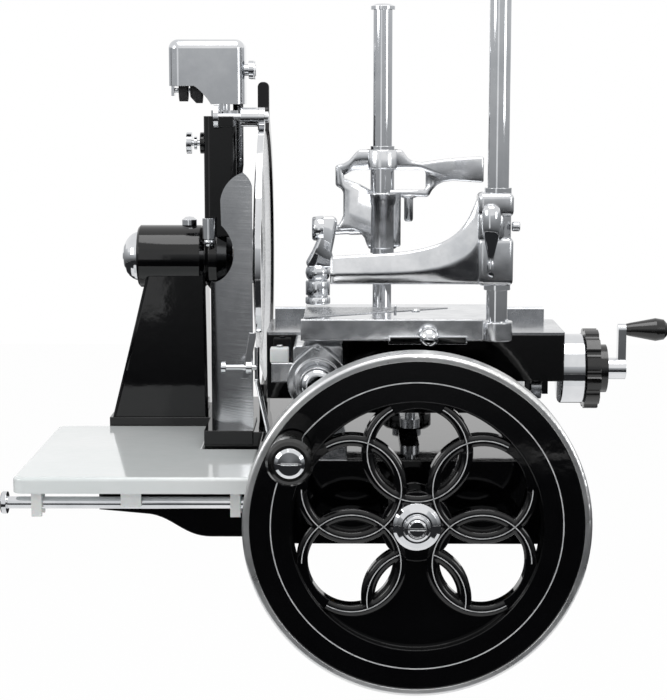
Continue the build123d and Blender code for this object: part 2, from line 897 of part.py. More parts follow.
# slanted catch that turns on the pin and holds the lower end of the edge guard
catch_hub_x = (catch_top[0] + catch_bottom[0]) / 2
with BuildPart() as guard_catch:
    extrude(
        outline(
            facing_front(0, deflector_pin_y + catch_thickness / 2, 0),
            [
                (catch_bottom[0] - catch_width / 2, catch_bottom[1]),
                (catch_bottom[0] + catch_width / 2, catch_bottom[1]),
                (catch_top[0] - loose_gap, catch_top[1] - 6),
                (catch_top[0] - loose_gap, catch_top[1]),
                (catch_top[0] - catch_width, catch_top[1]),
            ],
        ),
        amount=catch_thickness,
    )
    brick(
        stay_x - stay_radius - loose_gap, catch_top[0] + stay_radius,
        deflector_pin_y - catch_width, deflector_pin_y + catch_width,
        catch_bottom[1], stay_top_z + loose_gap, mode=Mode.SUBTRACT,
    )
    bar(
        facing_right(catch_hub_x - 6, deflector_pin_y, deflector_pin_z),
        deflector_pin_radius + 4, 8,
    )
    bar(
        facing_right(catch_bottom[0] - 10, deflector_pin_y, deflector_pin_z),
        deflector_pin_radius, 30, mode=Mode.SUBTRACT,
    )
guard_catch.part.label = "guard_catch"
export_step(guard_catch.part, "parts/guard_catch.step")

# ------------------------------------------------------------------ slice tray, its clips and rod
# The tray is notched round the ledge, in front of the deflector's foot and the stay of the guard,
# so that it lifts off past them.
tray_notch_front = min(strip_front - loose_gap, deflector_pin_y - stay_radius - 1)
with BuildPart() as slice_tray:
    brick(tray_left, tray_right, tray_front, tray_back, tray_bottom, tray_top)
    brick(
        ledge_left - loose_gap, tray_right, tray_notch_front, tray_back,
        tray_bottom, tray_top, mode=Mode.SUBTRACT,
    )
    fillet(slice_tray.edges().filter_by(Axis.Z).sort_by(Axis.X)[:2], radius=tray_corner)
    fillet(slice_tray.faces().sort_by(Axis.Z)[-1].edges(), radius=edge_round)
    brick(
        tray_left + tray_rim, ledge_left - tray_rim, tray_front + 2 * clip_depth, tray_back - tray_rim,
        tray_bottom, tray_top - tray_plate, mode=Mode.SUBTRACT,
    )
    brick(
        ledge_left - tray_rim, tray_right - tray_rim, tray_front + 2 * clip_depth,
        tray_notch_front - tray_rim, tray_bottom, tray_top - tray_plate, mode=Mode.SUBTRACT,
    )
slice_tray.part.label = "slice_tray"
export_step(slice_tray.part, "parts/slice_tray.step")

# two clips under the tray's front edge, open below so that the tray lifts off, and a tab between
with BuildPart() as tray_clips:
    for clip_x in (clip_left_x, clip_right_x):
        brick(
            clip_x - clip_width / 2, clip_x + clip_width / 2,
            tray_rod_y - clip_depth / 2, tray_rod_y + clip_depth / 2,
            tray_bottom - clip_drop, tray_bottom,
        )
    slot_half = tray_rod_radius + loose_gap
    bar(
        facing_right(tray_left, tray_rod_y, tray_rod_z), slot_half,
        tray_right - tray_left, mode=Mode.SUBTRACT,
    )
    brick(
        tray_left, tray_right, tray_rod_y - slot_half, tray_rod_y + slot_half,
        tray_bottom - clip_drop, tray_rod_z, mode=Mode.SUBTRACT,
    )
    brick(
        tab_x - tab_width / 2, tab_x + tab_width / 2,
        tray_rod_y - clip_depth / 2, tray_rod_y - slot_half, tray_bottom - tab_drop, tray_bottom,
    )
tray_clips.part.label = "tray_clips"
export_step(tray_clips.part, "parts/tray_clips.step")

with BuildPart() as tray_rod:
    bar(
        facing_right(tray_rod_end + 2, tray_rod_y, tray_rod_z), tray_rod_radius,
        block_left + base_wall - tray_rod_end - 2,
    )
    bar(facing_right(tray_rod_end, tray_rod_y, tray_rod_z), tray_knob_radius, tray_knob_length)
    chamfer(tray_rod.edges().filter_by(GeomType.CIRCLE).sort_by(Axis.X)[0], length=1.5)
tray_rod.part.label = "tray_rod"
export_step(tray_rod.part, "parts/tray_rod.step")

# ------------------------------------------------------------------ flywheel
# The window of one ornamental ring, for the ring that lies along +X from the hub.
neighbour_x = ring_pitch * cos(radians(60))
neighbour_y = ring_pitch * sin(radians(60))
with BuildSketch() as ring_window:
    with Locations((ring_pitch, 0)):
        Circle(ring_inner)
    with Locations((neighbour_x, neighbour_y), (neighbour_x, -neighbour_y)):
        Circle(ring_outer, mode=Mode.SUBTRACT)

# The slot in the web where two rings cross, for the web that lies along +X from the hub.
lens_x = ring_pitch * cos(radians(30))
lens_y = ring_pitch * sin(radians(30))
with BuildSketch() as lens_slot:
    with Locations((lens_x, lens_y)):
        Circle(lens_radius)
    with Locations((lens_x, -lens_y)):
        Circle(lens_radius, mode=Mode.INTERSECT)

# The three-cornered gap between two rings and the rim, for the gap that lies along +X.
with BuildSketch() as rim_gap:
    Circle(rim_inner - web_lip)
    Circle(ring_pitch, mode=Mode.SUBTRACT)
    for side in (-1, 1):
        with Locations((lens_x, side * lens_y)):
            Circle(ring_outer, mode=Mode.SUBTRACT)
    with Locations((rim_inner, 0)):
        Rectangle(rim_inner, 2 * lens_y, mode=Mode.INTERSECT)

ring_angles = (90, 30, -30, 150, 210)
lens_angles = (0, 60, 120, 180, 240, 300)
rim_gap_angles = (0, 60, 120, 180)


def turned_face(plane, face, angle):
    """A flat shape, turned about the middle of the plane that it is put on."""
    with BuildSketch(plane) as turned_sketch:
        with Locations(Location((0, 0, 0), (0, 0, angle))):
            add(face)
    return turned_sketch.sketch


def ring_centre(angle):
    """Middle of one ornamental ring, seen from the hub."""
    return (ring_pitch * cos(radians(angle)), ring_pitch * sin(radians(angle)))


rim_face = wheel_front + rim_setback
rim_rear = wheel_back - rim_setback
web_face = wheel_front + web_setback
web_rear = web_face + web_depth
hub_face = wheel_front + hub_setback
disc_radius = wheel_radius - wheel_tyre
cut_plane = facing_front(wheel_x, web_rear, wheel_z)
cut_depth = web_depth + ring_relief
with BuildPart() as flywheel:
    turned(
        towards_front(wheel_x, 0, wheel_z),
        [
            (-rim_rear, rim_inner), (-rim_rear, disc_radius), (-rim_face, disc_radius),
            (-rim_face, rim_inner), (-web_face, rim_inner), (-web_face, wheel_shaft_radius),
            (-web_rear, wheel_shaft_radius), (-web_rear, rim_inner),
        ],
    )
    for angle in ring_angles:
        ring_x, ring_z = ring_centre(angle)
        bar(
            facing_front(wheel_x + ring_x, web_face + 1, wheel_z + ring_z),
            ring_outer, ring_relief + 1, bore=ring_inner,
        )
    for angle in ring_angles:
        extrude(turned_face(cut_plane, ring_window.sketch, angle), amount=cut_depth, mode=Mode.SUBTRACT)
    for angle in lens_angles:
        extrude(turned_face(cut_plane, lens_slot.sketch, angle), amount=cut_depth, mode=Mode.SUBTRACT)
    for angle in rim_gap_angles:
        extrude(turned_face(cut_plane, rim_gap.sketch, angle), amount=cut_depth, mode=Mode.SUBTRACT)
    bar(
        facing_front(wheel_x, hub_face + hub_depth, wheel_z), hub_radius, hub_depth,
    )
    bar(
        facing_front(wheel_x, hub_face + hub_depth, wheel_z), wheel_shaft_radius,
        hub_depth, mode=Mode.SUBTRACT,
    )
    bar(
        facing_front(handle_x, rim_rear, handle_z), spindle_radius,
        rim_rear - rim_face, mode=Mode.SUBTRACT,
    )
flywheel.part.label = "flywheel"
export_step(flywheel.part, "parts/flywheel.step")

with BuildPart() as flywheel_rim:
    bar(facing_front(wheel_x, wheel_back, wheel_z), wheel_radius, wheel_depth, bore=disc_radius)
    fillet(
        flywheel_rim.edges().filter_by(GeomType.CIRCLE).sort_by(SortBy.RADIUS)[-2:], radius=tyre_round
    )
flywheel_rim.part.label = "flywheel_rim"
export_step(flywheel_rim.part, "parts/flywheel_rim.step")

# stepped cap over the shaft end, with its slotted screw
with BuildPart() as wheel_hub_cap:
    turned(
        towards_front(wheel_x, hub_face, wheel_z),
        [
            (0, 0), (0, hub_cap_radius), (3, hub_cap_radius), (6, hub_cap_radius - 4),
            (8, hub_cap_radius - 10), (8, 17), (13, 16), (hub_cap_height - 2, 13),
            (hub_cap_height - 2, hub_screw_radius), (hub_cap_height, hub_screw_radius - 2),
            (hub_cap_height, 0),
        ],
    )
    brick(
        wheel_x - hub_screw_radius, wheel_x + hub_screw_radius,
        hub_face - hub_cap_height, hub_face - hub_cap_height + 2,
        wheel_z - 1.2, wheel_z + 1.2, mode=Mode.SUBTRACT,
    )
wheel_hub_cap.part.label = "wheel_hub_cap"
export_step(wheel_hub_cap.part, "parts/wheel_hub_cap.step")

shaft_end = blade_y - cross_gear_radius
with BuildPart() as flywheel_shaft:
    bar(facing_front(wheel_x, shaft_end, wheel_z), wheel_shaft_radius, shaft_end - hub_face)
flywheel_shaft.part.label = "flywheel_shaft"
export_step(flywheel_shaft.part, "parts/flywheel_shaft.step")

# bevel gears on the shaft: one turns the upright crank, one the cross shaft to the blade
with BuildPart() as wheel_bevels:
    bevel_gear(
        Plane(
            origin=(wheel_x, crank_y - crank_pitch_radius, wheel_z), x_dir=(1, 0, 0), z_dir=(0, 1, 0)
        ),
        crank_pitch_radius, crank_pitch_radius, gear_face,
    )
    bevel_gear(
        Plane(origin=(wheel_x, shaft_end, wheel_z), x_dir=(1, 0, 0), z_dir=(0, 1, 0)),
        wheel_gear_radius, cross_gear_radius, gear_face / 2,
    )
    bar(
        facing_front(wheel_x, crank_y, wheel_z), wheel_shaft_radius,
        crank_pitch_radius, mode=Mode.SUBTRACT,
    )
wheel_bevels.part.label = "wheel_bevels"
export_step(wheel_bevels.part, "parts/wheel_bevels.step")

# steel spindle of the handle: a collar on the rim, the axle and a wide slotted head
grip_back = wheel_front - spindle_foot_height
grip_front = grip_back - grip_length
with BuildPart() as handle_spindle:
    bar(facing_front(handle_x, rim_rear, handle_z), spindle_radius, rim_rear - grip_front)
    bar(facing_front(handle_x, rim_face, handle_z), spindle_foot_radius, rim_face - grip_back - loose_gap)
    turned(
        towards_front(handle_x, grip_front, handle_z),
        [
            (-spindle_head_height, 0), (-spindle_head_height, spindle_head_radius),
            (0, spindle_head_radius), (3, spindle_head_radius - 4), (4, 0),
        ],
    )
    brick(
        handle_x - 10, handle_x + 10, grip_front - 4, grip_front - 2,
        handle_z - 1.2, handle_z + 1.2, mode=Mode.SUBTRACT,
    )
handle_spindle.part.label = "handle_spindle"
export_step(handle_spindle.part, "parts/handle_spindle.step")

with BuildPart() as wheel_grip:
    bore = spindle_radius + loose_gap
    recess = spindle_head_radius + loose_gap
    turned(
        towards_front(handle_x, grip_back, handle_z),
        [
            (0, bore), (0, grip_base_radius), (grip_length * 0.3, grip_base_radius + 1),
            (grip_length * 0.7, grip_radius - 1), (grip_length - 8, grip_radius),
            (grip_length - 2, grip_radius - 3), (grip_length, grip_radius - 7),
            (grip_length, recess), (grip_length - spindle_head_height - loose_gap, recess),
            (grip_length - spindle_head_height - loose_gap, bore),
        ],
    )
wheel_grip.part.label = "wheel_grip"
export_step(wheel_grip.part, "parts/wheel_grip.step")

# ------------------------------------------------------------------ drive to the carriage
with BuildPart() as crank_tower:
    bar(facing_up(wheel_x, crank_y, bed_height), tower_radius, tower_height, bore=crank_bush_radius)
    chamfer(crank_tower.edges().filter_by(GeomType.CIRCLE).sort_by(SortBy.RADIUS)[-1], length=3)
crank_tower.part.label = "crank_tower"
export_step(crank_tower.part, "parts/crank_tower.step")

# upright shaft with its own bevel gear below
with BuildPart() as crank_shaft:
    bevel_gear(
        Plane(
            origin=(wheel_x, crank_y, wheel_z + crank_pitch_radius), x_dir=(1, 0, 0), z_dir=(0, 0, -1)
        ),
        crank_pitch_radius, crank_pitch_radius, gear_face,
    )
    bar(
        facing_up(wheel_x, crank_y, wheel_z + crank_pitch_radius), crank_shaft_radius,
        crank_arm_top - wheel_z - crank_pitch_radius,
    )
crank_shaft.part.label = "crank_shaft"
export_step(crank_shaft.part, "parts/crank_shaft.step")

# crank arm, which lies towards the front when the carriage is at its front stop
with BuildPart() as crank_arm:
    with BuildSketch(facing_up(wheel_x, crank_y, crank_arm_bottom)) as arm_plan:
        with Locations((0, -crank_throw / 2)):
            SlotCenterToCenter(crank_throw, crank_arm_width, rotation=90)
        Circle(crank_arm_width * 0.8)
        Circle(crank_shaft_radius, mode=Mode.SUBTRACT)
    extrude(amount=crank_arm_height)
    bar(facing_up(wheel_x, crank_y - crank_throw, crank_arm_top), crank_pin_radius, crank_pin_height)
crank_arm.part.label = "crank_arm"
export_step(crank_arm.part, "parts/crank_arm.step")

# ------------------------------------------------------------------ drive to the blade
cross_right = wheel_x - wheel_gear_radius
with BuildPart() as cross_shaft:
    bevel_gear(
        Plane(origin=(cross_right, blade_y, wheel_z), x_dir=(0, 1, 0), z_dir=(1, 0, 0)),
        cross_gear_radius, wheel_gear_radius, gear_face,
    )
    bar(
        facing_right(chain_x - chain_width, blade_y, wheel_z), cross_shaft_radius,
        cross_right - chain_x + chain_width,
    )
    extrude(
        toothed(
            facing_right(chain_x - chain_width / 2 + 1, blade_y, wheel_z),
            cross_sprocket_radius, 1.5, 18,
        ),
        amount=chain_width - 2,
    )
cross_shaft.part.label = "cross_shaft"
export_step(cross_shaft.part, "parts/cross_shaft.step")


def chain_loop(reach):
    """Outline round both sprockets, a distance outside their tooth tips."""
    with BuildSketch(facing_right(chain_x - chain_width / 2, blade_y, wheel_z)) as face:
        with BuildLine():
            CenterArc((0, 0), cross_sprocket_radius + reach, 0, 360)
            CenterArc((0, blade_z - wheel_z), blade_sprocket_radius + reach, 0, 360)
        make_hull()
    return face.sketch


with BuildPart() as drive_chain:
    extrude(chain_loop(chain_thickness), amount=chain_width)
    extrude(chain_loop(loose_gap), amount=chain_width, mode=Mode.SUBTRACT)
drive_chain.part.label = "drive_chain"
export_step(drive_chain.part, "parts/drive_chain.step")

# ------------------------------------------------------------------ bronze bushes
# Two on the flywheel shaft and one more behind, two on the cross shaft, one on the crank shaft
# and two on the blade shaft.
rear_hanger = crank_y + crank_pitch_radius + hanger_depth
with BuildPart() as shaft_bushes:
    bar(
        facing_front(wheel_x, base_front + base_wall, wheel_z), bush_radius,
        front_bush_length, bore=wheel_shaft_radius + running_gap,
    )
    for hanger_y in (ledge_front - hanger_depth, rear_hanger):
        bar(
            facing_front(wheel_x, hanger_y + hanger_depth, wheel_z), bush_radius,
            hanger_depth, bore=wheel_shaft_radius + running_gap,
        )
    bar(
        facing_right(wheel_x - hanger_width - hanger_depth, blade_y, wheel_z), cross_bush_radius,
        hanger_depth, bore=cross_shaft_radius + running_gap,
    )
    bar(
        facing_right(shelf_curve_start - base_wall, blade_y, wheel_z), cross_bush_radius,
        2 * base_wall, bore=cross_shaft_radius + running_gap,
    )
    bar(
        facing_up(wheel_x, crank_y, bed_underside), crank_bush_radius,
        base_wall + tower_height, bore=crank_shaft_radius + running_gap,
    )
    for bush_x in (hub_left, hub_right - bush_length):
        bar(
            facing_right(bush_x, blade_y, blade_z), blade_bush_radius,
            bush_length, bore=blade_shaft_radius + running_gap,
        )
shaft_bushes.part.label = "shaft_bushes"
export_step(shaft_bushes.part, "parts/shaft_bushes.step")

# ------------------------------------------------------------------ guide bar and right rail
with BuildPart() as guide_bar:
    bar(facing_front(bar_x, bar_back, bar_z), bar_radius, bar_back - bar_front)
    fillet(guide_bar.edges().filter_by(GeomType.CIRCLE).sort_by(Axis.Y)[0], radius=bar_radius * 0.4)
guide_bar.part.label = "guide_bar"
export_step(guide_bar.part, "parts/guide_bar.step")

# brackets that hold the two ends of the bar on the bed; the front one spreads into a wide foot
with BuildPart() as guide_bar_brackets:
    front_bracket_back = bar_front + bracket_depth + 5
    for bracket_back in (front_bracket_back, base_back):
        bracket_boss = bracket_width / 2 + 3
        bar(facing_front(bar_x, bracket_back, bar_z), bracket_boss, bracket_depth)
    extrude(
        outline(
            facing_front(bar_x, front_bracket_back, 0),
            [
                (-front_foot_width / 2, bed_height), (front_foot_width / 2, bed_height),
                (front_foot_width / 2, bed_height + front_foot_height), (bracket_width / 2, bar_z),
                (-bracket_width / 2, bar_z),
                (-front_foot_width / 2, bed_height + front_foot_height),
            ],
        ),
        amount=bracket_depth,
    )
    brick(
        bar_x - bracket_width / 2, bar_x + bracket_width / 2,
        base_back - bracket_depth, base_back, bed_height, bar_z,
    )
    bar(
        facing_front(bar_x, base_back, bar_z), bar_radius, base_back - base_front, mode=Mode.SUBTRACT
    )
guide_bar_brackets.part.label = "guide_bar_brackets"
export_step(guide_bar_brackets.part, "parts/guide_bar_brackets.step")

rail_back = base_back - 2
rail_front = base_front + 5
with BuildPart() as right_rail:
    bar(facing_front(rail_x, rail_back, rail_z), rail_radius, rail_back - rail_front)
    for post_y in (rail_front + rail_post_radius, rail_back - rail_post_radius):
        bar(facing_up(rail_x, post_y, bed_height), rail_post_radius, rail_z - bed_height)
right_rail.part.label = "right_rail"
export_step(right_rail.part, "parts/right_rail.step")

# ------------------------------------------------------------------ carriage
nut_slot_left = nut_x - nut_length / 2 - feed_left - 8
nut_slot_right = nut_x + nut_length / 2 + feed_right + 8
nut_slot_front = screw_y - nut_width / 2 - 5
nut_slot_back = screw_y + nut_width / 2 + 5
roller_z = rail_top + seat_gap + roller_radius
yoke_left = wheel_x - crank_throw - yoke_end
yoke_right = wheel_x + crank_throw + yoke_end
with BuildPart() as carriage_beam:
    brick(beam_left, beam_step, beam_front, beam_back, beam_bottom, beam_top)
    brick(beam_step, beam_right, beam_front, beam_back, beam_step_bottom, beam_top)
    outer_edge = beam_top - beam_step_bottom - 1
    fillet(
        carriage_beam.edges().filter_by(Axis.Z).filter_by(lambda edge: edge.length > outer_edge),
        radius=edge_round,
    )
    # tunnel over the guide bar and its rear bracket
    brick(
        bar_x - tunnel_half, bar_x + tunnel_half, beam_front, beam_back, beam_bottom, tunnel_top,
        mode=Mode.SUBTRACT,
    )
    # pockets from below, either side of the feed screw
    for pocket_front, pocket_back in (
        (yoke_y + yoke_half_slot + yoke_bar + 2, nut_slot_front - beam_wall),
        (nut_slot_back + beam_wall, beam_back - beam_wall),
    ):
        brick(
            bar_x + tunnel_half + beam_wall, beam_step - beam_wall, pocket_front, pocket_back,
            beam_bottom, beam_top - beam_wall, mode=Mode.SUBTRACT,
        )
    # trough for the feed nut, open on top, and the bores of the feed screw
    brick(
        nut_slot_left, nut_slot_right, nut_slot_front, nut_slot_back,
        screw_z - nut_width / 2 - 3, beam_top, mode=Mode.SUBTRACT,
    )
    bar(
        facing_right(screw_left, screw_y, screw_z), screw_radius + running_gap,
        beam_right - screw_left, mode=Mode.SUBTRACT,
    )
    # pocket, ears and axle of the roller
    brick(
        rail_x - roller_width / 2 - 1, rail_x + roller_width / 2 + 1,
        roller_y - roller_radius - 2, roller_y + roller_radius + 2,
        beam_step_bottom, roller_z + roller_radius + 2, mode=Mode.SUBTRACT,
    )
    for ear_x in (rail_x - roller_width / 2 - 1 - ear_thickness, rail_x + roller_width / 2 + 1):
        brick(
            ear_x, ear_x + ear_thickness, roller_y - 11, roller_y + 11,
            roller_z - 8, beam_step_bottom,
        )
    bar(
        facing_right(rail_x - roller_width / 2 - 1 - ear_thickness, roller_y, roller_z),
        roller_axle_radius - running_gap, roller_width + 2 + 2 * ear_thickness,
    )
    # yoke under the front edge, which the crank pin pushes to and fro
    for side in (-1, 1):
        yoke_edge = yoke_y + side * (yoke_half_slot + yoke_bar / 2)
        brick(
            yoke_left, yoke_right, yoke_edge - yoke_bar / 2, yoke_edge + yoke_bar / 2,
            beam_bottom - yoke_height, beam_bottom,
        )
    for end_x in (yoke_left, yoke_right - yoke_bar):
        brick(
            end_x, end_x + yoke_bar, yoke_y - yoke_half_slot - yoke_bar,
            yoke_y + yoke_half_slot + yoke_bar, beam_bottom - yoke_height, beam_bottom,
        )
carriage_beam.part.label = "carriage_beam"
export_step(carriage_beam.part, "parts/carriage_beam.step")

with BuildPart() as beam_cover:
    brick(beam_left, beam_right, beam_front, beam_back, beam_top, cover_plate_top)
    fillet(beam_cover.edges().filter_by(Axis.Z), radius=edge_round)
    brick(
        nut_slot_left, nut_slot_right, nut_slot_front, nut_slot_back,
        beam_top, cover_plate_top, mode=Mode.SUBTRACT,
    )
beam_cover.part.label = "beam_cover"
export_step(beam_cover.part, "parts/beam_cover.step")

# graduated rail along the rear edge of the beam
with BuildPart() as beam_rail:
    brick(
        beam_left + 6, beam_right - 14, beam_back - beam_rail_depth, beam_back,
        cover_plate_top, cover_plate_top + beam_rail_height,
    )
    chamfer(beam_rail.edges().filter_by(Axis.X).sort_by(Axis.Z)[-2:], length=2)
beam_rail.part.label = "beam_rail"
export_step(beam_rail.part, "parts/beam_rail.step")

# polished sleeve that runs on the guide bar, in front of the beam, with the saddle over it and a
# lug to the left
with BuildPart() as carriage_sleeve:
    bar(
        facing_front(bar_x, beam_front, bar_z), sleeve_radius, beam_front - sleeve_front
    )
    brick(
        bar_x - saddle_half, bar_x + saddle_half, sleeve_front + 12, beam_front, bar_z,
        saddle_top,
    )
    brick(
        sleeve_lug_left, bar_x, beam_front - sleeve_lug_depth, beam_front,
        bar_z - sleeve_lug_height / 2, bar_z + sleeve_lug_height / 2,
    )
    fillet(carriage_sleeve.edges().filter_by(Axis.Y).sort_by(Axis.Z)[-2:], radius=edge_round)
    bar(
        facing_front(bar_x, beam_front, bar_z), bar_radius + running_gap,
        beam_front - sleeve_front, mode=Mode.SUBTRACT,
    )
carriage_sleeve.part.label = "carriage_sleeve"
export_step(carriage_sleeve.part, "parts/carriage_sleeve.step")

# diamond-shaped flange with the wiper's ring in front of the sleeve
with BuildPart() as sleeve_flange:
    with BuildSketch(facing_front(bar_x, sleeve_front, bar_z)) as diamond:
        with BuildLine():
            CenterArc((0, 0), flange_radius, 0, 360)
            CenterArc((0, flange_reach), flange_lobe_radius, 0, 360)
            CenterArc((0, -flange_reach), flange_lobe_radius, 0, 360)
        make_hull()
        Circle(bar_radius + running_gap, mode=Mode.SUBTRACT)
    extrude(amount=flange_depth)
    bar(
        facing_front(bar_x, sleeve_front - flange_depth, bar_z), wiper_radius, 5,
        bore=bar_radius + running_gap,
    )
sleeve_flange.part.label = "sleeve_flange"
export_step(sleeve_flange.part, "parts/sleeve_flange.step")

with BuildPart() as rail_roller:
    bar(
        facing_right(rail_x - roller_width / 2, roller_y, roller_z),
        roller_radius, roller_width, bore=roller_axle_radius,
    )
rail_roller.part.label = "rail_roller"
export_step(rail_roller.part, "parts/rail_roller.step")

# ------------------------------------------------------------------ feed screw and its controls
with BuildPart() as index_drum:
    bar(
        facing_right(beam_right, screw_y, screw_z), drum_radius, drum_length,
        bore=screw_radius + running_gap,
    )
    chamfer(index_drum.edges().filter_by(GeomType.CIRCLE).sort_by(SortBy.RADIUS)[-2:], length=2)
index_drum.part.label = "index_drum"
export_step(index_drum.part, "parts/index_drum.step")

with BuildPart() as thickness_knob:
    with BuildSketch(facing_right(knob_left, screw_y, screw_z)) as knob_face:
        Circle(knob_radius)
        with PolarLocations(knob_radius + 4, knob_scallops):
            Circle(8, mode=Mode.SUBTRACT)
        Circle(screw_radius + loose_gap, mode=Mode.SUBTRACT)
    extrude(amount=knob_length * 0.6)
    bar(
        facing_right(knob_left, screw_y, screw_z), knob_radius * 0.6, knob_length,
        bore=screw_radius + loose_gap,
    )
thickness_knob.part.label = "thickness_knob"
export_step(thickness_knob.part, "parts/thickness_knob.step")

with BuildPart() as lead_screw:
    bar(
        facing_right(screw_left, screw_y, screw_z), screw_radius,
        feed_hub_left + feed_hub_length - screw_left,
    )
lead_screw.part.label = "lead_screw"
export_step(lead_screw.part, "parts/lead_screw.step")

# bent arm of the feed crank: hub, curved arm and the boss that carries the grip's pin
with BuildPart() as feed_crank:
    bar(
        facing_right(feed_hub_left, screw_y, screw_z), feed_hub_radius, feed_hub_length,
        bore=screw_radius,
    )
    with BuildSketch(facing_right(feed_arm_left, screw_y, screw_z)) as feed_arm_face:
        with Locations((0, feed_throw / 2)):
            SlotCenterToCenter(feed_throw, 16, rotation=90)
        Circle(screw_radius, mode=Mode.SUBTRACT)
    extrude(amount=feed_arm_thickness)
    bar(
        facing_right(feed_arm_left, screw_y, screw_z + feed_throw), feed_pin_radius,
        feed_grip_left + feed_grip_length - feed_arm_left,
    )
    bar(
        facing_right(feed_grip_left + feed_grip_length + loose_gap, screw_y, screw_z + feed_throw),
        feed_pin_radius + 3, 2.5,
    )
    bar(
        facing_right(feed_grip_left + feed_grip_length, screw_y, screw_z + feed_throw),
        feed_pin_radius, 2,
    )
feed_crank.part.label = "feed_crank"
export_step(feed_crank.part, "parts/feed_crank.step")

with BuildPart() as feed_grip:
    bore = feed_pin_radius + running_gap
    turned(
        facing_front(feed_grip_left, screw_y, screw_z + feed_throw),
        [
            (0, bore), (0, 8), (6, 9.5), (feed_grip_length * 0.35, 12),
            (feed_grip_length * 0.72, feed_grip_radius), (feed_grip_length * 0.92, feed_grip_radius - 2),
            (feed_grip_length, feed_grip_radius - 7), (feed_grip_length, bore),
        ],
    )
feed_grip.part.label = "feed_grip"
export_step(feed_grip.part, "parts/feed_grip.step")

# ------------------------------------------------------------------ meat table
apron_top = table_top + apron_height
with BuildPart() as meat_table:
    brick(table_left, table_right, table_front, table_back, table_bottom, table_top)
    brick(table_left, table_right - 4, table_front, table_front + apron_depth, table_bottom + 4, apron_top)
    for runner_y in (beam_front + 12, beam_back - 34):
        brick(
            table_left + 4, table_right - 4, runner_y, runner_y + runner_width,
            cover_plate_top + seat_gap, table_bottom,
        )
    # bosses of the two rods
    bar(facing_up(front_rod_x, front_rod_y, table_bottom), rod_foot_radius, rod_foot_height)
    for rod_x, rod_y in ((front_rod_x, front_rod_y), (rear_rod_x, rear_rod_y)):
        bar(
            facing_up(rod_x, rod_y, table_bottom), rod_radius, 2 * rod_foot_height,
            mode=Mode.SUBTRACT,
        )
    # slotted bar under the apron and the boss of the release lever
    brick(
        lever_x - lever_slot_length / 2, lever_x + lever_slot_length / 2,
        table_front + 2, table_front + apron_depth, table_bottom - lever_slot_drop, table_bottom + 5,
    )
    bar(
        facing_front(lever_x, table_front + apron_depth, lever_z), lever_ball_radius - 1, apron_depth
    )
    bar(
        facing_front(lever_x, table_front + 4 * apron_depth, lever_z),
        lever_stem_radius + running_gap, 4 * apron_depth, mode=Mode.SUBTRACT,
    )
meat_table.part.label = "meat_table"
export_step(meat_table.part, "parts/meat_table.step")

with BuildPart() as feed_nut:
    brick(
        nut_x - nut_length / 2, nut_x + nut_length / 2, screw_y - nut_width / 2,
        screw_y + nut_width / 2, screw_z - nut_width / 2, table_bottom,
    )
    bar(
        facing_right(nut_x - nut_length / 2, screw_y, screw_z), screw_radius + running_gap,
        nut_length, mode=Mode.SUBTRACT,
    )
feed_nut.part.label = "feed_nut"
export_step(feed_nut.part, "parts/feed_nut.step")

# two chromed rods with mushroom caps
with BuildPart() as clamp_rods:
    for rod_x, rod_y in ((front_rod_x, front_rod_y), (rear_rod_x, rear_rod_y)):
        turned(
            upwards(rod_x, rod_y, 0),
            [
                (table_bottom, 0), (table_bottom, rod_radius), (rod_top - rod_cap_height, rod_radius),
                (rod_top - rod_cap_height, rod_cap_radius), (rod_top - 4, rod_cap_radius),
                (rod_top - 1, rod_cap_radius * 0.6), (rod_top, 0),
            ],
        )
clamp_rods.part.label = "clamp_rods"
export_step(clamp_rods.part, "parts/clamp_rods.step")

# release lever: a ball on a stem, with a collar against the apron
lever_ball_y = table_front - lever_ball_radius - 6
with BuildPart() as table_lever:
    with Locations((lever_x, lever_ball_y, lever_z)):
        Sphere(lever_ball_radius)
    bar(
        facing_front(lever_x, table_front + 3 * apron_depth, lever_z),
        lever_stem_radius, table_front + 3 * apron_depth - lever_ball_y,
    )
    bar(facing_front(lever_x, table_front - loose_gap, lever_z), lever_ball_radius - 2, 3)
table_lever.part.label = "table_lever"
export_step(table_lever.part, "parts/table_lever.step")

# ------------------------------------------------------------------ front clamp
with BuildPart() as front_sleeve:
    bar(
        facing_up(front_rod_x, front_rod_y, front_clamp_bottom - 6), clamp_bore,
        front_clamp_top - front_clamp_bottom + 12, bore=rod_radius + running_gap,
    )
front_sleeve.part.label = "front_sleeve"
export_step(front_sleeve.part, "parts/front_sleeve.step")

with BuildPart() as front_arm:
    brick(
        front_clamp_left, front_clamp_right, front_rod_y - front_clamp_depth / 2,
        front_rod_y + front_clamp_depth / 2, front_clamp_bottom, front_clamp_top,
    )
    fillet(front_arm.edges().filter_by(Axis.Z), radius=12)
    with BuildSketch(facing_front(0, front_rod_y + front_arm_depth / 2, 0)) as arm_side:
        with BuildLine():
            lower = Line((front_arm_left, front_clamp_bottom), (front_rod_x - 10, front_clamp_bottom))
            Line(lower @ 1, (front_rod_x - 10, front_clamp_top))
            upper = Spline(
                (front_rod_x - 10, front_clamp_top),
                (front_clamp_left - 7, front_clamp_top - 25),
                (front_clamp_left - 40, front_clamp_top - 58),
                (front_arm_knee_x, front_clamp_bottom + front_arm_end_height + 4),
                (front_arm_left, front_clamp_bottom + front_arm_end_height),
            )
            Line(upper @ 1, lower @ 0)
        make_face()
    extrude(amount=front_arm_depth)
    bar(
        facing_up(front_rod_x, front_rod_y, front_clamp_bottom), clamp_bore + running_gap,
        front_clamp_top - front_clamp_bottom, mode=Mode.SUBTRACT,
    )
    brick(
        front_rod_x + 6, front_clamp_right, front_rod_y - front_clamp_depth / 2, front_rod_y,
        cam_z - clamp_slot_height, cam_z, mode=Mode.SUBTRACT,
    )
front_arm.part.label = "front_arm"
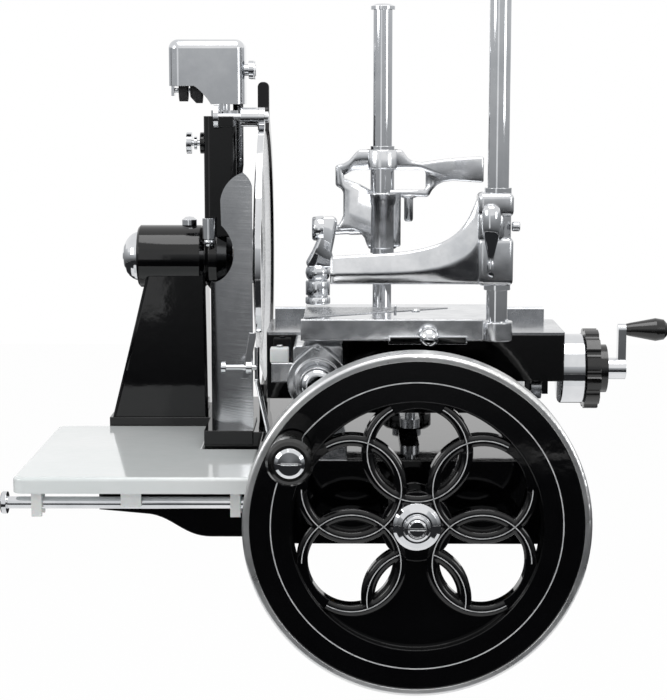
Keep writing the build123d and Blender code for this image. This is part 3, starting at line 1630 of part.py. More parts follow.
export_step(front_arm.part, "parts/front_arm.step")

# clamping lever on the front of the arm's socket
clamp_face = front_rod_y - front_clamp_depth / 2
cam_y = clamp_face - loose_gap - cam_bulb_radius
with BuildPart() as cam_lever:
    turned(
        upwards(cam_x, cam_y, cam_z),
        [
            (22, 0), (20, 7), (14, cam_bulb_radius - 1), (8, cam_bulb_radius), (-12, cam_bulb_radius),
            (-20, cam_bulb_radius - 1), (-50, cam_pin_radius - 1), (-50, cam_pin_radius),
            (3 - cam_length, cam_pin_radius), (-cam_length, cam_pin_radius - 2), (-cam_length, 0),
        ],
    )
    bar(
        facing_front(cam_x, clamp_face - loose_gap, cam_z), cam_pin_radius + 1,
        clamp_face - loose_gap - cam_y,
    )
cam_lever.part.label = "cam_lever"
export_step(cam_lever.part, "parts/cam_lever.step")

# ------------------------------------------------------------------ rear clamp, link and foot
with BuildPart() as rear_sleeve:
    bar(
        facing_up(rear_rod_x, rear_rod_y, rear_clamp_bottom - 6), clamp_bore,
        rear_clamp_top - rear_clamp_bottom + 12, bore=rod_radius + running_gap,
    )
rear_sleeve.part.label = "rear_sleeve"
export_step(rear_sleeve.part, "parts/rear_sleeve.step")

with BuildPart() as rear_clamp:
    bar(
        facing_up(rear_rod_x, rear_rod_y, rear_clamp_bottom), rear_sleeve_radius,
        rear_clamp_top - rear_clamp_bottom,
    )
    with BuildSketch(facing_front(0, rear_rod_y + rear_head_depth / 2, 0)) as head_face:
        with BuildLine():
            top = Line((-18, rear_clamp_top), (49, rear_clamp_top))
            right_curve = ThreePointArc(top @ 1, (58, rear_clamp_top - 12), (73, rear_clamp_top - 16))
            down = Line(right_curve @ 1, (73, rear_head_bottom))
            boss = Line(down @ 1, (rear_rod_x, rear_head_bottom))
            web = Line(boss @ 1, (rear_rod_x, rear_web_bottom))
            lower = Line(web @ 1, (rear_web_left + 6, rear_web_bottom))
            inner = Line(lower @ 1, (rear_web_left, window_bottom + 3))
            wing_low = Line(inner @ 1, (rear_wing_left, window_bottom + 10))
            wing = Line(wing_low @ 1, (rear_wing_left, rear_clamp_top - 17))
            ThreePointArc(wing @ 1, (-24, rear_clamp_top - 13), top @ 0)
        make_face()
    extrude(amount=rear_head_depth)
    # arm to the right
    with BuildSketch(facing_front(0, rear_rod_y + rear_arm_depth / 2, 0)) as right_arm:
        with BuildLine():
            arm_top = Line((72, rear_clamp_top - 16), (rear_arm_right, rear_clamp_top - 9))
            arm_end = Line(arm_top @ 1, (rear_arm_right, rear_clamp_top - 46))
            arm_low = ThreePointArc(
                arm_end @ 1, (100, rear_clamp_top - 48), (72, rear_clamp_top - 65)
            )
            Line(arm_low @ 1, arm_top @ 0)
        make_face()
    extrude(amount=rear_arm_depth)
    # window in the front of the head
    brick(
        window_left, window_right, rear_rod_y - rear_head_depth / 2,
        rear_rod_y - rear_head_depth / 2 + 12, window_bottom, window_top, mode=Mode.SUBTRACT,
    )
    # stop pin below the head and the pin of the link at the lower left
    bar(facing_up(stop_pin_x, rear_rod_y, stop_pin_bottom), 6, rear_head_bottom - stop_pin_bottom)
    bar(facing_up(stop_pin_x, rear_rod_y, rear_head_bottom - 6), 13, 7)
    bar(
        facing_right(link_left, rear_rod_y, link_pin_z), link_pin_radius - running_gap,
        rear_rod_x - link_left,
    )
    bar(facing_right(link_right + loose_gap, rear_rod_y, link_pin_z), link_pin_radius + 5, 7)
    bar(
        facing_up(rear_rod_x, rear_rod_y, rear_clamp_bottom), clamp_bore + running_gap,
        rear_clamp_top - rear_clamp_bottom, mode=Mode.SUBTRACT,
    )
rear_clamp.part.label = "rear_clamp"
export_step(rear_clamp.part, "parts/rear_clamp.step")

# swinging link with its large slotted screw, and the neck that carries the foot
with BuildPart() as press_link:
    bar(
        facing_right(link_left, rear_rod_y, link_pin_z), link_boss_radius, link_right - link_left,
        bore=link_pin_radius,
    )
    extrude(
        outline(
            facing_front(0, rear_rod_y + link_neck_depth / 2, 0),
            [
                (link_left, link_pin_z - link_pin_radius - 4), (link_right, link_pin_z - link_pin_radius - 4),
                (link_right - 12, foot_top + 12), (foot_x + 14, foot_top + loose_gap),
                (foot_x - 14, foot_top + loose_gap), (foot_x - 5, foot_top + 14),
            ],
        ),
        amount=link_neck_depth,
    )
    bar(facing_up(foot_x, rear_rod_y, foot_bottom + 12), foot_pin_radius, foot_top + 4 - foot_bottom - 12)
    turned(
        facing_front(link_left, rear_rod_y, link_pin_z),
        [
            (-link_screw_height, 0), (-link_screw_height + 3, link_screw_radius - 4),
            (-5, link_screw_radius), (0, link_screw_radius), (0, link_pin_radius), (-1, link_pin_radius),
            (-1, 0),
        ],
    )
press_link.part.label = "press_link"
export_step(press_link.part, "parts/press_link.step")

with BuildPart() as press_foot:
    foot_bore = foot_pin_radius + loose_gap
    bore_end = foot_bottom + 12 - loose_gap
    turned(
        upwards(foot_x, rear_rod_y, 0),
        [
            (foot_bottom, 0), (foot_bottom, foot_radius - 2), (foot_bottom + 9, foot_radius - 1),
            (foot_bottom + 9, foot_radius), (foot_bottom + 13, foot_radius),
            (foot_bottom + 14, foot_radius - 2), (foot_top - 20, foot_radius - 2),
            (foot_top - 18, foot_radius), (foot_top - 3, foot_radius), (foot_top, foot_radius - 4),
            (foot_top, foot_bore), (bore_end, foot_bore), (bore_end, 0),
        ],
    )
press_foot.part.label = "press_foot"
export_step(press_foot.part, "parts/press_foot.step")

# ------------------------------------------------------------------ sharpener
# Post on the hub: it carries the sharpener's spindle and, on a lug, the pin of the edge guard.
with BuildPart() as sharpener_post:
    brick(post_left, post_right, post_front, post_back, blade_z, post_top)
    fillet(sharpener_post.edges().filter_by(Axis.Z), radius=8)
    bar(facing_right(post_left - 6, post_knob_y, post_knob_z), post_knob_radius, 20)
    bar(
        facing_right(post_left, blade_y, blade_z), hub_flange_radius,
        post_right - post_left, mode=Mode.SUBTRACT,
    )
    brick(
        pivot_left + 4, post_right, pivot_y - pivot_eye_radius, post_front + 8,
        pivot_z - pivot_eye_radius, post_top,
    )
    bar(
        facing_right(pivot_left, pivot_y, pivot_z), pivot_pin_radius - running_gap,
        post_right - pivot_left, mode=Mode.SUBTRACT,
    )
    bar(
        facing_up(sharpener_x, sharpener_y, post_top - spindle_sink),
        sharpener_spindle_radius + running_gap, spindle_sink + 40, mode=Mode.SUBTRACT,
    )
    bar(
        facing_right(post_left - 6, post_knob_y, post_knob_z), post_knob_stem + running_gap,
        15, mode=Mode.SUBTRACT,
    )
sharpener_post.part.label = "sharpener_post"
export_step(sharpener_post.part, "parts/sharpener_post.step")

# knurled screw that locks the sharpener's spindle
with BuildPart() as post_knob:
    bar(facing_right(post_left - 22, post_knob_y, post_knob_z), post_knob_stem, 30)
    bar(facing_right(post_left - 26, post_knob_y, post_knob_z), post_knob_radius, 7.5)
    bar(facing_right(post_left - 15, post_knob_y, post_knob_z), post_knob_radius * 0.6, 4)
post_knob.part.label = "post_knob"
export_step(post_knob.part, "parts/post_knob.step")

head_bottom = cover_top - cover_wall - 34
with BuildPart() as sharpener_spindle:
    bar(
        facing_up(sharpener_x, sharpener_y, post_top - spindle_sink + 1), sharpener_spindle_radius,
        head_bottom + 16 - post_top + spindle_sink,
    )
    bar(facing_up(sharpener_x, sharpener_y, post_top + seat_gap), sharpener_collar_radius, 8)
sharpener_spindle.part.label = "sharpener_spindle"
export_step(sharpener_spindle.part, "parts/sharpener_spindle.step")

# hollow cover with a notch on the left, through which the stones show, and a boss for the spindle
cover_front = sharpener_y - cover_depth / 2
cover_back = sharpener_y + cover_depth / 2
with BuildPart() as sharpener_cover:
    brick(cover_left, cover_right, cover_front, cover_back, cover_bottom, cover_top)
    fillet(sharpener_cover.edges().filter_by(Axis.Z), radius=cover_round)
    fillet(sharpener_cover.faces().sort_by(Axis.Z)[-1].edges(), radius=cover_round - 2)
    brick(
        cover_left + cover_wall, cover_right - cover_wall, cover_front + cover_wall,
        cover_back - cover_wall, cover_bottom, cover_top - cover_wall - 8, mode=Mode.SUBTRACT,
    )
    with BuildSketch(facing_front(0, cover_back, 0)) as notch_face:
        with BuildLine():
            notch_top = Line(
                (cover_left, cover_bottom + cover_notch_rise),
                (cover_notch_right - 12, cover_bottom + cover_notch_rise),
            )
            notch_side = ThreePointArc(
                notch_top @ 1,
                (cover_notch_right, cover_bottom + cover_notch_rise * 0.6),
                (cover_notch_right + 12, cover_bottom),
            )
            Line(notch_side @ 1, (cover_left, cover_bottom))
            Line((cover_left, cover_bottom), notch_top @ 0)
        make_face()
    extrude(amount=cover_depth, mode=Mode.SUBTRACT)
    bar(
        facing_up(sharpener_x, sharpener_y, head_bottom), sharpener_spindle_radius + 5,
        cover_top - cover_wall - 6 - head_bottom,
    )
    bar(
        facing_up(sharpener_x, sharpener_y, head_bottom), sharpener_spindle_radius + running_gap,
        18, mode=Mode.SUBTRACT,
    )
    # axle of the stones, fixed in the left wall and in a rib from the roof
    brick(
        cover_notch_right + 2, cover_notch_right + 8, sharpener_y - 12, sharpener_y + 12,
        stone_z - 8, cover_top - cover_wall - 6,
    )
    brick(
        cover_left + 2, cover_left + cover_wall + 2, sharpener_y - 10, sharpener_y + 10,
        stone_z - 8, stone_z + 14,
    )
    bar(
        facing_right(cover_left + 4, sharpener_y, stone_z), stone_axle_radius - running_gap,
        cover_notch_right + 4 - cover_left,
    )
    # push knobs of the stones on the right side
    for knob_y in (sharpener_y - 20, sharpener_y + 20):
        bar(
            facing_right(cover_right - 1, knob_y, cover_top - 43), push_knob_radius - 5,
            push_knob_length,
        )
        bar(
            facing_right(cover_right + push_knob_length - 9, knob_y, cover_top - 43),
            push_knob_radius, 7,
        )
sharpener_cover.part.label = "sharpener_cover"
export_step(sharpener_cover.part, "parts/sharpener_cover.step")

# two grinding stones side by side on the axle
with BuildPart() as sharpening_stones:
    bar(
        facing_right(cover_left + 13, sharpener_y, stone_z), stone_radius - 2.5, 12,
        bore=stone_axle_radius,
    )
    turned(
        facing_front(cover_left + 29, sharpener_y, stone_z),
        [(0, stone_axle_radius), (0, 10), (8, stone_radius), (17, stone_radius), (17, stone_axle_radius)],
    )
sharpening_stones.part.label = "sharpening_stones"
export_step(sharpening_stones.part, "parts/sharpening_stones.step")
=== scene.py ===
from math import cos, pi, radians, sin

import bmesh
import bpy
from mathutils import Matrix, Vector


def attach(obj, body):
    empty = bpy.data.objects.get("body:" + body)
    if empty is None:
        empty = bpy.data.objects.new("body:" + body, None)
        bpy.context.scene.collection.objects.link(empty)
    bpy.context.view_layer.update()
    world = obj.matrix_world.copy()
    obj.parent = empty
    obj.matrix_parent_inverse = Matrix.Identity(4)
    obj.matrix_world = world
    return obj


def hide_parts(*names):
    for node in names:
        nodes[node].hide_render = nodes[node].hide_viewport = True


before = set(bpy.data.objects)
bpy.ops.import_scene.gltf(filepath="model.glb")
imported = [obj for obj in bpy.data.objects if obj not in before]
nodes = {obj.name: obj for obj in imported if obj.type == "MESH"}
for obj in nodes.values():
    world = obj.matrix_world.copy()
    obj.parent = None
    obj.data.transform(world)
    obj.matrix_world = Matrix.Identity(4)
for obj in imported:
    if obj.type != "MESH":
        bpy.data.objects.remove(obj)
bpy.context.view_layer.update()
scene = bpy.context.scene

# ---------------------------------------------------------------- the studio
# A long lens looks from nearly straight ahead and a little from above.  The machine stands in
# front of a white backdrop, lit by three softboxes: overhead, from the left and from the right.
lens = bpy.data.cameras.new("studio_lens")
lens.sensor_width = 36.0
lens.lens = 88.1
lens.clip_end = 30.0
camera = bpy.data.objects.new("studio_camera", lens)
camera.location = (-0.0246, -2.3848, 0.5610)
camera.rotation_euler = (radians(90.0 - 8.21), 0.0, radians(0.55))
scene.collection.objects.link(camera)
scene.camera = camera
scene.view_settings.view_transform = "Standard"


def linear(hex_colour):
    """sRGB hex to the linear colour that a shader takes."""
    values = [int(hex_colour[i:i + 2], 16) / 255.0 for i in (0, 2, 4)]
    return tuple(v / 12.92 if v <= 0.04045 else ((v + 0.055) / 1.055) ** 2.4 for v in values) + (1.0,)


def add(tree, kind, settings=None, **links):
    """Adds a node, sets its properties and inputs, and links what is given as an output socket."""
    node = tree.nodes.new(kind)
    for name, value in (settings or {}).items():
        setattr(node, name, value)
    for name, value in links.items():
        key = int(name[1:]) if name[0] == "i" and name[1:].isdigit() else name.replace("_", " ")
        socket = node.inputs[key]
        if isinstance(value, bpy.types.NodeSocket):
            tree.links.new(value, socket)
        else:
            socket.default_value = value
    return node


backdrop = bpy.data.worlds.new("white_backdrop")
backdrop.use_nodes = True
tree = backdrop.node_tree
tree.nodes.clear()
path = add(tree, "ShaderNodeLightPath")
seen = add(tree, "ShaderNodeMath", {"operation": "MAXIMUM"},
           i0=path.outputs["Is Camera Ray"], i1=path.outputs["Is Glossy Ray"])
seen = add(tree, "ShaderNodeMath", {"operation": "MAXIMUM"},
           i0=seen.outputs[0], i1=path.outputs["Is Transmission Ray"])
soft = add(tree, "ShaderNodeBackground", Color=linear("FFFFFF"), Strength=0.55)
white = add(tree, "ShaderNodeBackground", Color=linear("FFFFFF"), Strength=1.0)
both = add(tree, "ShaderNodeMixShader", i0=seen.outputs[0], i1=soft.outputs[0], i2=white.outputs[0])
add(tree, "ShaderNodeOutputWorld", Surface=both.outputs[0])
scene.world = backdrop

for name, place, aim, size, power in (
        ("overhead_softbox", (0.1, -0.6, 2.4), (0.0, 0.0, 0.2), 1.6, 26.0),
        ("left_softbox", (-2.3, -1.4, 1.3), (0.0, 0.0, 0.3), 1.1, 16.0),
        ("right_softbox", (2.2, -1.8, 0.9), (0.0, 0.0, 0.2), 0.8, 8.0)):
    lamp = bpy.data.lights.new(name, "AREA")
    lamp.shape = "SQUARE"
    lamp.size = size
    lamp.energy = power
    box = bpy.data.objects.new(name, lamp)
    box.location = place
    box.rotation_euler = (Vector(aim) - Vector(place)).to_track_quat("-Z", "Y").to_euler()
    scene.collection.objects.link(box)


def shaped(name, mesh_of, material=None, smooth=35.0):
    """New object from a bmesh, shaded smooth but for its edges."""
    mesh = bpy.data.meshes.new(name)
    bmesh.ops.recalc_face_normals(mesh_of, faces=mesh_of.faces)
    mesh_of.to_mesh(mesh)
    mesh_of.free()
    piece = bpy.data.objects.new(name, mesh)
    scene.collection.objects.link(piece)
    if smooth:
        mesh.polygons.foreach_set("use_smooth", [True] * len(mesh.polygons))
        mesh.set_sharp_from_angle(angle=radians(smooth))
    if material:
        mesh.materials.append(material)
    return piece


def material(name):
    """New material with an empty tree, its shader and the object's own coordinates."""
    made = bpy.data.materials.new(name)
    made.use_nodes = True
    made.node_tree.nodes.clear()
    place = add(made.node_tree, "ShaderNodeTexCoord")
    return made, made.node_tree, place.outputs["Object"]


# The studio's floor is a plain white sheet, as far below the machine as its stand is high.
cloth, tree, place = material("white_paper")
path = add(tree, "ShaderNodeLightPath")
seen = add(tree, "ShaderNodeMath", {"operation": "MAXIMUM"},
           i0=path.outputs["Is Camera Ray"], i1=path.outputs["Is Glossy Ray"])
paper = add(tree, "ShaderNodeBsdfDiffuse", Color=linear("FAFAFA"))
glow = add(tree, "ShaderNodeEmission", Color=linear("FFFFFF"), Strength=1.0)
share = add(tree, "ShaderNodeMath", {"operation": "MULTIPLY"}, i0=seen.outputs[0], i1=0.975)
both = add(tree, "ShaderNodeMixShader", i0=share.outputs[0], i1=paper.outputs[0], i2=glow.outputs[0])
add(tree, "ShaderNodeOutputMaterial", Surface=both.outputs[0])
shape = bmesh.new()
bmesh.ops.create_grid(shape, x_segments=1, y_segments=1, size=6.0)
bmesh.ops.translate(shape, verts=shape.verts, vec=(0.0, 0.0, -0.62))
floor = shaped("studio_floor", shape, cloth)

# Grey cloths hang round the machine and lie on the floor, with white paper close under it and a
# tall white card left of the lens.  Only reflections see them: plating and enamel show dark below
# the lamps, undersides show light, and each rod has one white stripe.
felt, tree, place = material("grey_studio_cloth")
level = add(tree, "ShaderNodeSeparateXYZ", i0=place)
fade = add(tree, "ShaderNodeMapRange", Value=level.outputs[2], i1=-0.6, i2=1.1)
shade = add(tree, "ShaderNodeMix", {"data_type": "RGBA"}, i0=fade.outputs[0],
            i6=linear("2C2D2F"), i7=linear("D5D7D9"))
glow = add(tree, "ShaderNodeEmission", Color=shade.outputs[2], Strength=1.0)
add(tree, "ShaderNodeOutputMaterial", Surface=glow.outputs[0])
card, tree, place = material("white_reflector_card")
glow = add(tree, "ShaderNodeEmission", Color=linear("F4F5F6"), Strength=1.0)
add(tree, "ShaderNodeOutputMaterial", Surface=glow.outputs[0])
for name, run, turn, start, coat in (
        ("hanging_cloth", ((3.9, -0.58), (3.9, 0.55), (3.9, 1.1)), 290.0, 55.0, felt),
        ("lying_paper", ((0.75, -0.6), (1.3, -0.6)), 360.0, 0.0, card),
        ("lying_cloth", ((1.3, -0.6), (3.9, -0.6)), 360.0, 0.0, felt),
        ("standing_card", ((3.6, -0.2), (3.6, 2.4)), 15.0, 259.0, card)):
    shape = bmesh.new()
    corners = [shape.verts.new((reach, 0.0, height)) for reach, height in run]
    edges = [shape.edges.new(pair) for pair in zip(corners, corners[1:])]
    bmesh.ops.spin(shape, geom=corners + edges, cent=(0, 0, 0), axis=(0, 0, -1), dvec=(0, 0, 0),
                   angle=radians(turn), steps=64, use_merge=turn == 360.0)
    bmesh.ops.rotate(shape, verts=shape.verts, cent=(0, 0, 0),
                     matrix=Matrix.Rotation(radians(start), 3, "Z"))
    hung = shaped(name, shape, coat)
    hung.visible_camera = False
    hung.visible_shadow = False
    hung.visible_diffuse = False


# ---------------------------------------------------------------- base, pedestal and other castings
# Iron castings, filled, rubbed down and stove-enamelled black.  Stove enamel is a thick gloss coat,
# so the eye sees sharp reflections that swim a little over its faint orange peel.
def wear(tree, place, scale, low, high, detail=3.0):
    """Slow change of a value over the surface, as fingers and cloths leave it."""
    cloud = add(tree, "ShaderNodeTexNoise", Vector=place, Scale=scale, Detail=detail, Roughness=0.6)
    spread = add(tree, "ShaderNodeMapRange", Value=cloud.outputs["Fac"], i1=0.3, i2=0.7, i3=low, i4=high)
    return spread.outputs[0]


def grain(tree, place, scale, depth, edge=0.0):
    """Bump from a noise of the given scale, its height in metres, over edges rounded by a radius."""
    cloud = add(tree, "ShaderNodeTexNoise", Vector=place, Scale=scale, Detail=2.0, Roughness=0.5)
    bump = add(tree, "ShaderNodeBump", Distance=depth, Height=cloud.outputs["Fac"])
    if edge:
        eased = add(tree, "ShaderNodeBevel", {"samples": 6}, Radius=edge)
        tree.links.new(eased.outputs[0], bump.inputs["Normal"])
    return bump.outputs[0]


def blended(tree, place, scale, dark, light, low=0.35, high=0.65):
    """Two close colours that change slowly over the surface."""
    cloud = add(tree, "ShaderNodeTexNoise", Vector=place, Scale=scale, Detail=4.0, Roughness=0.6)
    spread = add(tree, "ShaderNodeMapRange", Value=cloud.outputs["Fac"], i1=low, i2=high)
    mix = add(tree, "ShaderNodeMix", {"data_type": "RGBA"}, i0=spread.outputs[0],
              i6=linear(dark), i7=linear(light))
    return mix.outputs[2]


black_enamel, tree, place = material("black_stove_enamel")
shader = add(tree, "ShaderNodeBsdfPrincipled", IOR=1.5,
             Base_Color=blended(tree, place, 9.0, "020203", "060607"),
             Roughness=wear(tree, place, 26.0, 0.03, 0.07),
             Normal=grain(tree, place, 60.0, 0.00006, 0.0022))
add(tree, "ShaderNodeOutputMaterial", Surface=shader.outputs[0])


def dress(coat, *names):
    """Gives CAD nodes this material in every slot."""
    for name in names:
        mesh = nodes[name].data
        if not mesh.materials:
            mesh.materials.append(coat)
        for slot in range(len(mesh.materials)):
            mesh.materials[slot] = coat


dress(black_enamel, "base_casting", "blade_pedestal", "blade_guard", "sharpener_post", "flywheel",
      "carriage_beam", "crank_tower", "deflector_foot")

# ---------------------------------------------------------------- flywheel rings and lining
# The wheel's ornamental rings are cast with a rounded crown, and a coach painter has drawn thin
# silver lines on the enamel: one circle on the rim, and one along the crown of each ring.
lining, tree, place = material("silver_lining_paint")
shader = add(tree, "ShaderNodeBsdfPrincipled", Metallic=0.35, IOR=1.48,
             Base_Color=blended(tree, place, 120.0, "B9BBBD", "DDDEDF"),
             Roughness=wear(tree, place, 200.0, 0.28, 0.40),
             Normal=grain(tree, place, 900.0, 0.00003))
add(tree, "ShaderNodeOutputMaterial", Surface=shader.outputs[0])


def swept(shape, profile, centre, start, end, steps=0):
    """Arc or ring round an axis towards the front: radii and depths, turned from +X towards +Z."""
    turn = Matrix.Rotation(-radians(start), 3, "Y")
    middle = Vector((centre[0], 0.0, centre[1]))
    line = [shape.verts.new(turn @ Vector((radius, 0.0, 0.0)) + middle + Vector((0, depth, 0)))
            for radius, depth in profile]
    edges = [shape.edges.new(pair) for pair in zip(line, line[1:])]
    bmesh.ops.spin(shape, geom=line + edges, cent=middle, axis=(0, -1, 0), dvec=(0, 0, 0),
                   angle=radians(end - start), steps=steps or max(12, int((end - start) / 3.0)),
                   use_merge=abs(end - start) >= 360.0)


def fitted(name, shape, coat, body, smooth=35.0):
    """A piece drawn in millimetres becomes an object in metres that rides on its body."""
    bmesh.ops.scale(shape, verts=shape.verts, vec=(0.001, 0.001, 0.001))
    piece = shaped(name, shape, coat, smooth)
    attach(piece, body)
    return piece


def pulled(shape, faces, way):
    """Thickens faces into a solid and gives the corners of its far side."""
    grown = bmesh.ops.extrude_face_region(shape, geom=faces)
    moved = [v for v in grown["geom"] if isinstance(v, bmesh.types.BMVert)]
    bmesh.ops.translate(shape, verts=moved, vec=way)
    return moved


wheel_x, wheel_z, ring_pitch = 58.0, 46.0, 92.8
ring_stripe = ((60.6, -335.45), (61.8, -335.45))
rim_stripe = ((179.1, -338.25), (180.5, -338.25))
stripe_depth = 0.25
ring_places = [(wheel_x + ring_pitch * cos(radians(a)), wheel_z + ring_pitch * sin(radians(a)), a)
               for a in (90.0, 30.0, -30.0, 150.0, 210.0)]
crown_run = [(61.2 - 7.2 * cos(radians(a)), -331.9 - 3.4 * sin(radians(a))) for a in range(0, 181, 15)]
shape = bmesh.new()
for x, z, angle in ring_places:
    swept(shape, crown_run, (x, z), angle + 30.0, angle + 330.0)
for angle in (30.0, 150.0):
    swept(shape, crown_run, (wheel_x, wheel_z - ring_pitch), angle - 40.0, angle + 40.0)
fitted("wheel_ring_crowns", shape, black_enamel, "flywheel", 60.0)

shape = bmesh.new()
swept(shape, rim_stripe, (wheel_x, wheel_z), 0.0, 360.0, 144)
for x, z, angle in ring_places:
    swept(shape, ring_stripe, (x, z), angle + 30.0, angle + 330.0)
for angle in (30.0, 150.0):
    swept(shape, ring_stripe, (wheel_x, wheel_z - ring_pitch), angle - 40.5, angle + 40.5)
pulled(shape, shape.faces[:], (0, stripe_depth, 0))
fitted("wheel_lining", shape, lining, "flywheel")

# ---------------------------------------------------------------- plated steel
# Turned and pressed steel, nickelled, chromed and buffed.  Chrome is nearly a mirror; only the
# buffing and finger marks show, as slow changes of its gloss.
chrome, tree, place = material("buffed_chrome_plate")
shader = add(tree, "ShaderNodeBsdfPrincipled", Metallic=1.0,
             Base_Color=blended(tree, place, 12.0, "CDCFD2", "E0E1E3"),
             Roughness=wear(tree, place, 40.0, 0.03, 0.08),
             Normal=grain(tree, place, 24.0, 0.0001, 0.0008))
add(tree, "ShaderNodeOutputMaterial", Surface=shader.outputs[0])
dress(chrome, "hub_dome", "oil_cups", "guard_pivot", "guard_stay", "guide_bar", "tray_rod", "edge_guard",
      "guard_catch", "post_knob", "wheel_hub_cap", "handle_spindle", "index_drum",
      "feed_crank", "clamp_rods", "table_lever", "front_sleeve", "rear_sleeve",
      "press_link", "press_foot", "sharpener_cover", "sharpener_spindle")

# ---------------------------------------------------------------- tyre of the flywheel
# The tyre is turned and nickelled but not buffed, so it stays lighter and softer than the chrome.
nickel, tree, place = material("satin_nickel_plate")
shader = add(tree, "ShaderNodeBsdfPrincipled", Metallic=1.0,
             Base_Color=blended(tree, place, 14.0, "DADBDC", "EBEBEA"),
             Roughness=wear(tree, place, 30.0, 0.26, 0.36),
             Normal=grain(tree, place, 500.0, 0.00004, 0.0012))
add(tree, "ShaderNodeOutputMaterial", Surface=shader.outputs[0])
dress(nickel, "flywheel_rim")

# ---------------------------------------------------------------- polished castings
# Clamps, table and bearings are cast aluminium alloy, filed and polished by hand.
# The polish follows the cast surface, so reflections break up into soft, wavy bands.
polished_alloy, tree, place = material("hand_polished_cast_alloy")
shader = add(tree, "ShaderNodeBsdfPrincipled", Metallic=1.0,
             Base_Color=blended(tree, place, 18.0, "C4C6C9", "DCDDDF"),
             Roughness=wear(tree, place, 55.0, 0.12, 0.22),
             Normal=grain(tree, place, 22.0, 0.0012, 0.003))
add(tree, "ShaderNodeOutputMaterial", Surface=shader.outputs[0])
dress(polished_alloy, "carriage_sleeve", "sleeve_flange", "front_arm", "cam_lever", "rear_clamp",
      "meat_table", "guide_bar_brackets")

# ---------------------------------------------------------------- sheet and ground steel
# The deflector, the beam's cover and the blade are ground and polished steel.  Grinding leaves
# fine parallel lines about half a millimetre apart, drawn coarser here so that they show.
sheet_steel, tree, place = material("ground_stainless_steel")
stretch = add(tree, "ShaderNodeMapping", Vector=place, Scale=(14.0, 14.0, 700.0))
shader = add(tree, "ShaderNodeBsdfPrincipled", Metallic=1.0,
             Base_Color=blended(tree, place, 10.0, "B4B6B9", "CFD0D2"),
             Roughness=wear(tree, stretch.outputs[0], 1.0, 0.14, 0.26),
             Normal=grain(tree, stretch.outputs[0], 1.0, 0.00005))
add(tree, "ShaderNodeOutputMaterial", Surface=shader.outputs[0])
dress(sheet_steel, "slicing_blade", "slice_deflector", "beam_cover")

bright_steel, tree, place = material("turned_bright_steel")
shader = add(tree, "ShaderNodeBsdfPrincipled", Metallic=1.0,
             Base_Color=blended(tree, place, 30.0, "8E9093", "A9ABAE"),
             Roughness=wear(tree, place, 90.0, 0.18, 0.34),
             Normal=grain(tree, place, 900.0, 0.00004))
add(tree, "ShaderNodeOutputMaterial", Surface=shader.outputs[0])
dress(bright_steel, "right_rail", "blade_shaft", "blade_sprocket", "cross_shaft", "crank_shaft", "crank_arm",
      "flywheel_shaft", "wheel_bevels", "lead_screw", "rail_roller", "drive_chain", "beam_rail")

# ---------------------------------------------------------------- tray
# The tray is a pressed plate in white vitreous enamel: glassy, faintly wavy, almost neutral white.
white_enamel, tree, place = material("white_vitreous_enamel")
shader = add(tree, "ShaderNodeBsdfPrincipled", IOR=1.52, Coat_Weight=0.5, Coat_Roughness=0.02,
             Base_Color=blended(tree, place, 7.0, "DFE4E4", "E8EBEB"),
             Roughness=wear(tree, place, 20.0, 0.06, 0.14),
             Normal=grain(tree, place, 90.0, 0.0001))
add(tree, "ShaderNodeOutputMaterial", Surface=shader.outputs[0])
dress(white_enamel, "slice_tray")

nylon, tree, place = material("white_moulded_nylon")
shader = add(tree, "ShaderNodeBsdfPrincipled", IOR=1.53, Subsurface_Weight=0.15, Subsurface_Scale=0.004,
             Base_Color=blended(tree, place, 40.0, "D6D9D9", "E2E4E3"),
             Roughness=wear(tree, place, 120.0, 0.32, 0.44),
             Normal=grain(tree, place, 500.0, 0.00008))
add(tree, "ShaderNodeOutputMaterial", Surface=shader.outputs[0])
dress(nylon, "tray_clips")

# ---------------------------------------------------------------- grips, bushes, stones
# The grips are turned and polished black phenolic, the bushes bronze, and the two sharpening
# stones vitrified grit.
phenolic, tree, place = material("polished_black_phenolic")
shader = add(tree, "ShaderNodeBsdfPrincipled", IOR=1.6,
             Base_Color=blended(tree, place, 60.0, "070707", "0E0D0C"),
             Roughness=wear(tree, place, 80.0, 0.10, 0.22),
             Normal=grain(tree, place, 400.0, 0.00004))
add(tree, "ShaderNodeOutputMaterial", Surface=shader.outputs[0])
dress(phenolic, "wheel_grip", "feed_grip", "thickness_knob")

bronze, tree, place = material("oiled_bearing_bronze")
shader = add(tree, "ShaderNodeBsdfPrincipled", Metallic=1.0,
             Base_Color=blended(tree, place, 80.0, "9A7742", "B8935A"),
             Roughness=wear(tree, place, 160.0, 0.22, 0.40),
             Normal=grain(tree, place, 800.0, 0.00005))
add(tree, "ShaderNodeOutputMaterial", Surface=shader.outputs[0])
dress(bronze, "shaft_bushes", "feed_nut")

grit, tree, place = material("vitrified_grinding_grit")
shader = add(tree, "ShaderNodeBsdfPrincipled", IOR=1.5,
             Base_Color=blended(tree, place, 900.0, "141415", "343436"),
             Roughness=wear(tree, place, 900.0, 0.75, 0.95),
             Normal=grain(tree, place, 1200.0, 0.0003))
add(tree, "ShaderNodeOutputMaterial", Surface=shader.outputs[0])
dress(grit, "sharpening_stones")


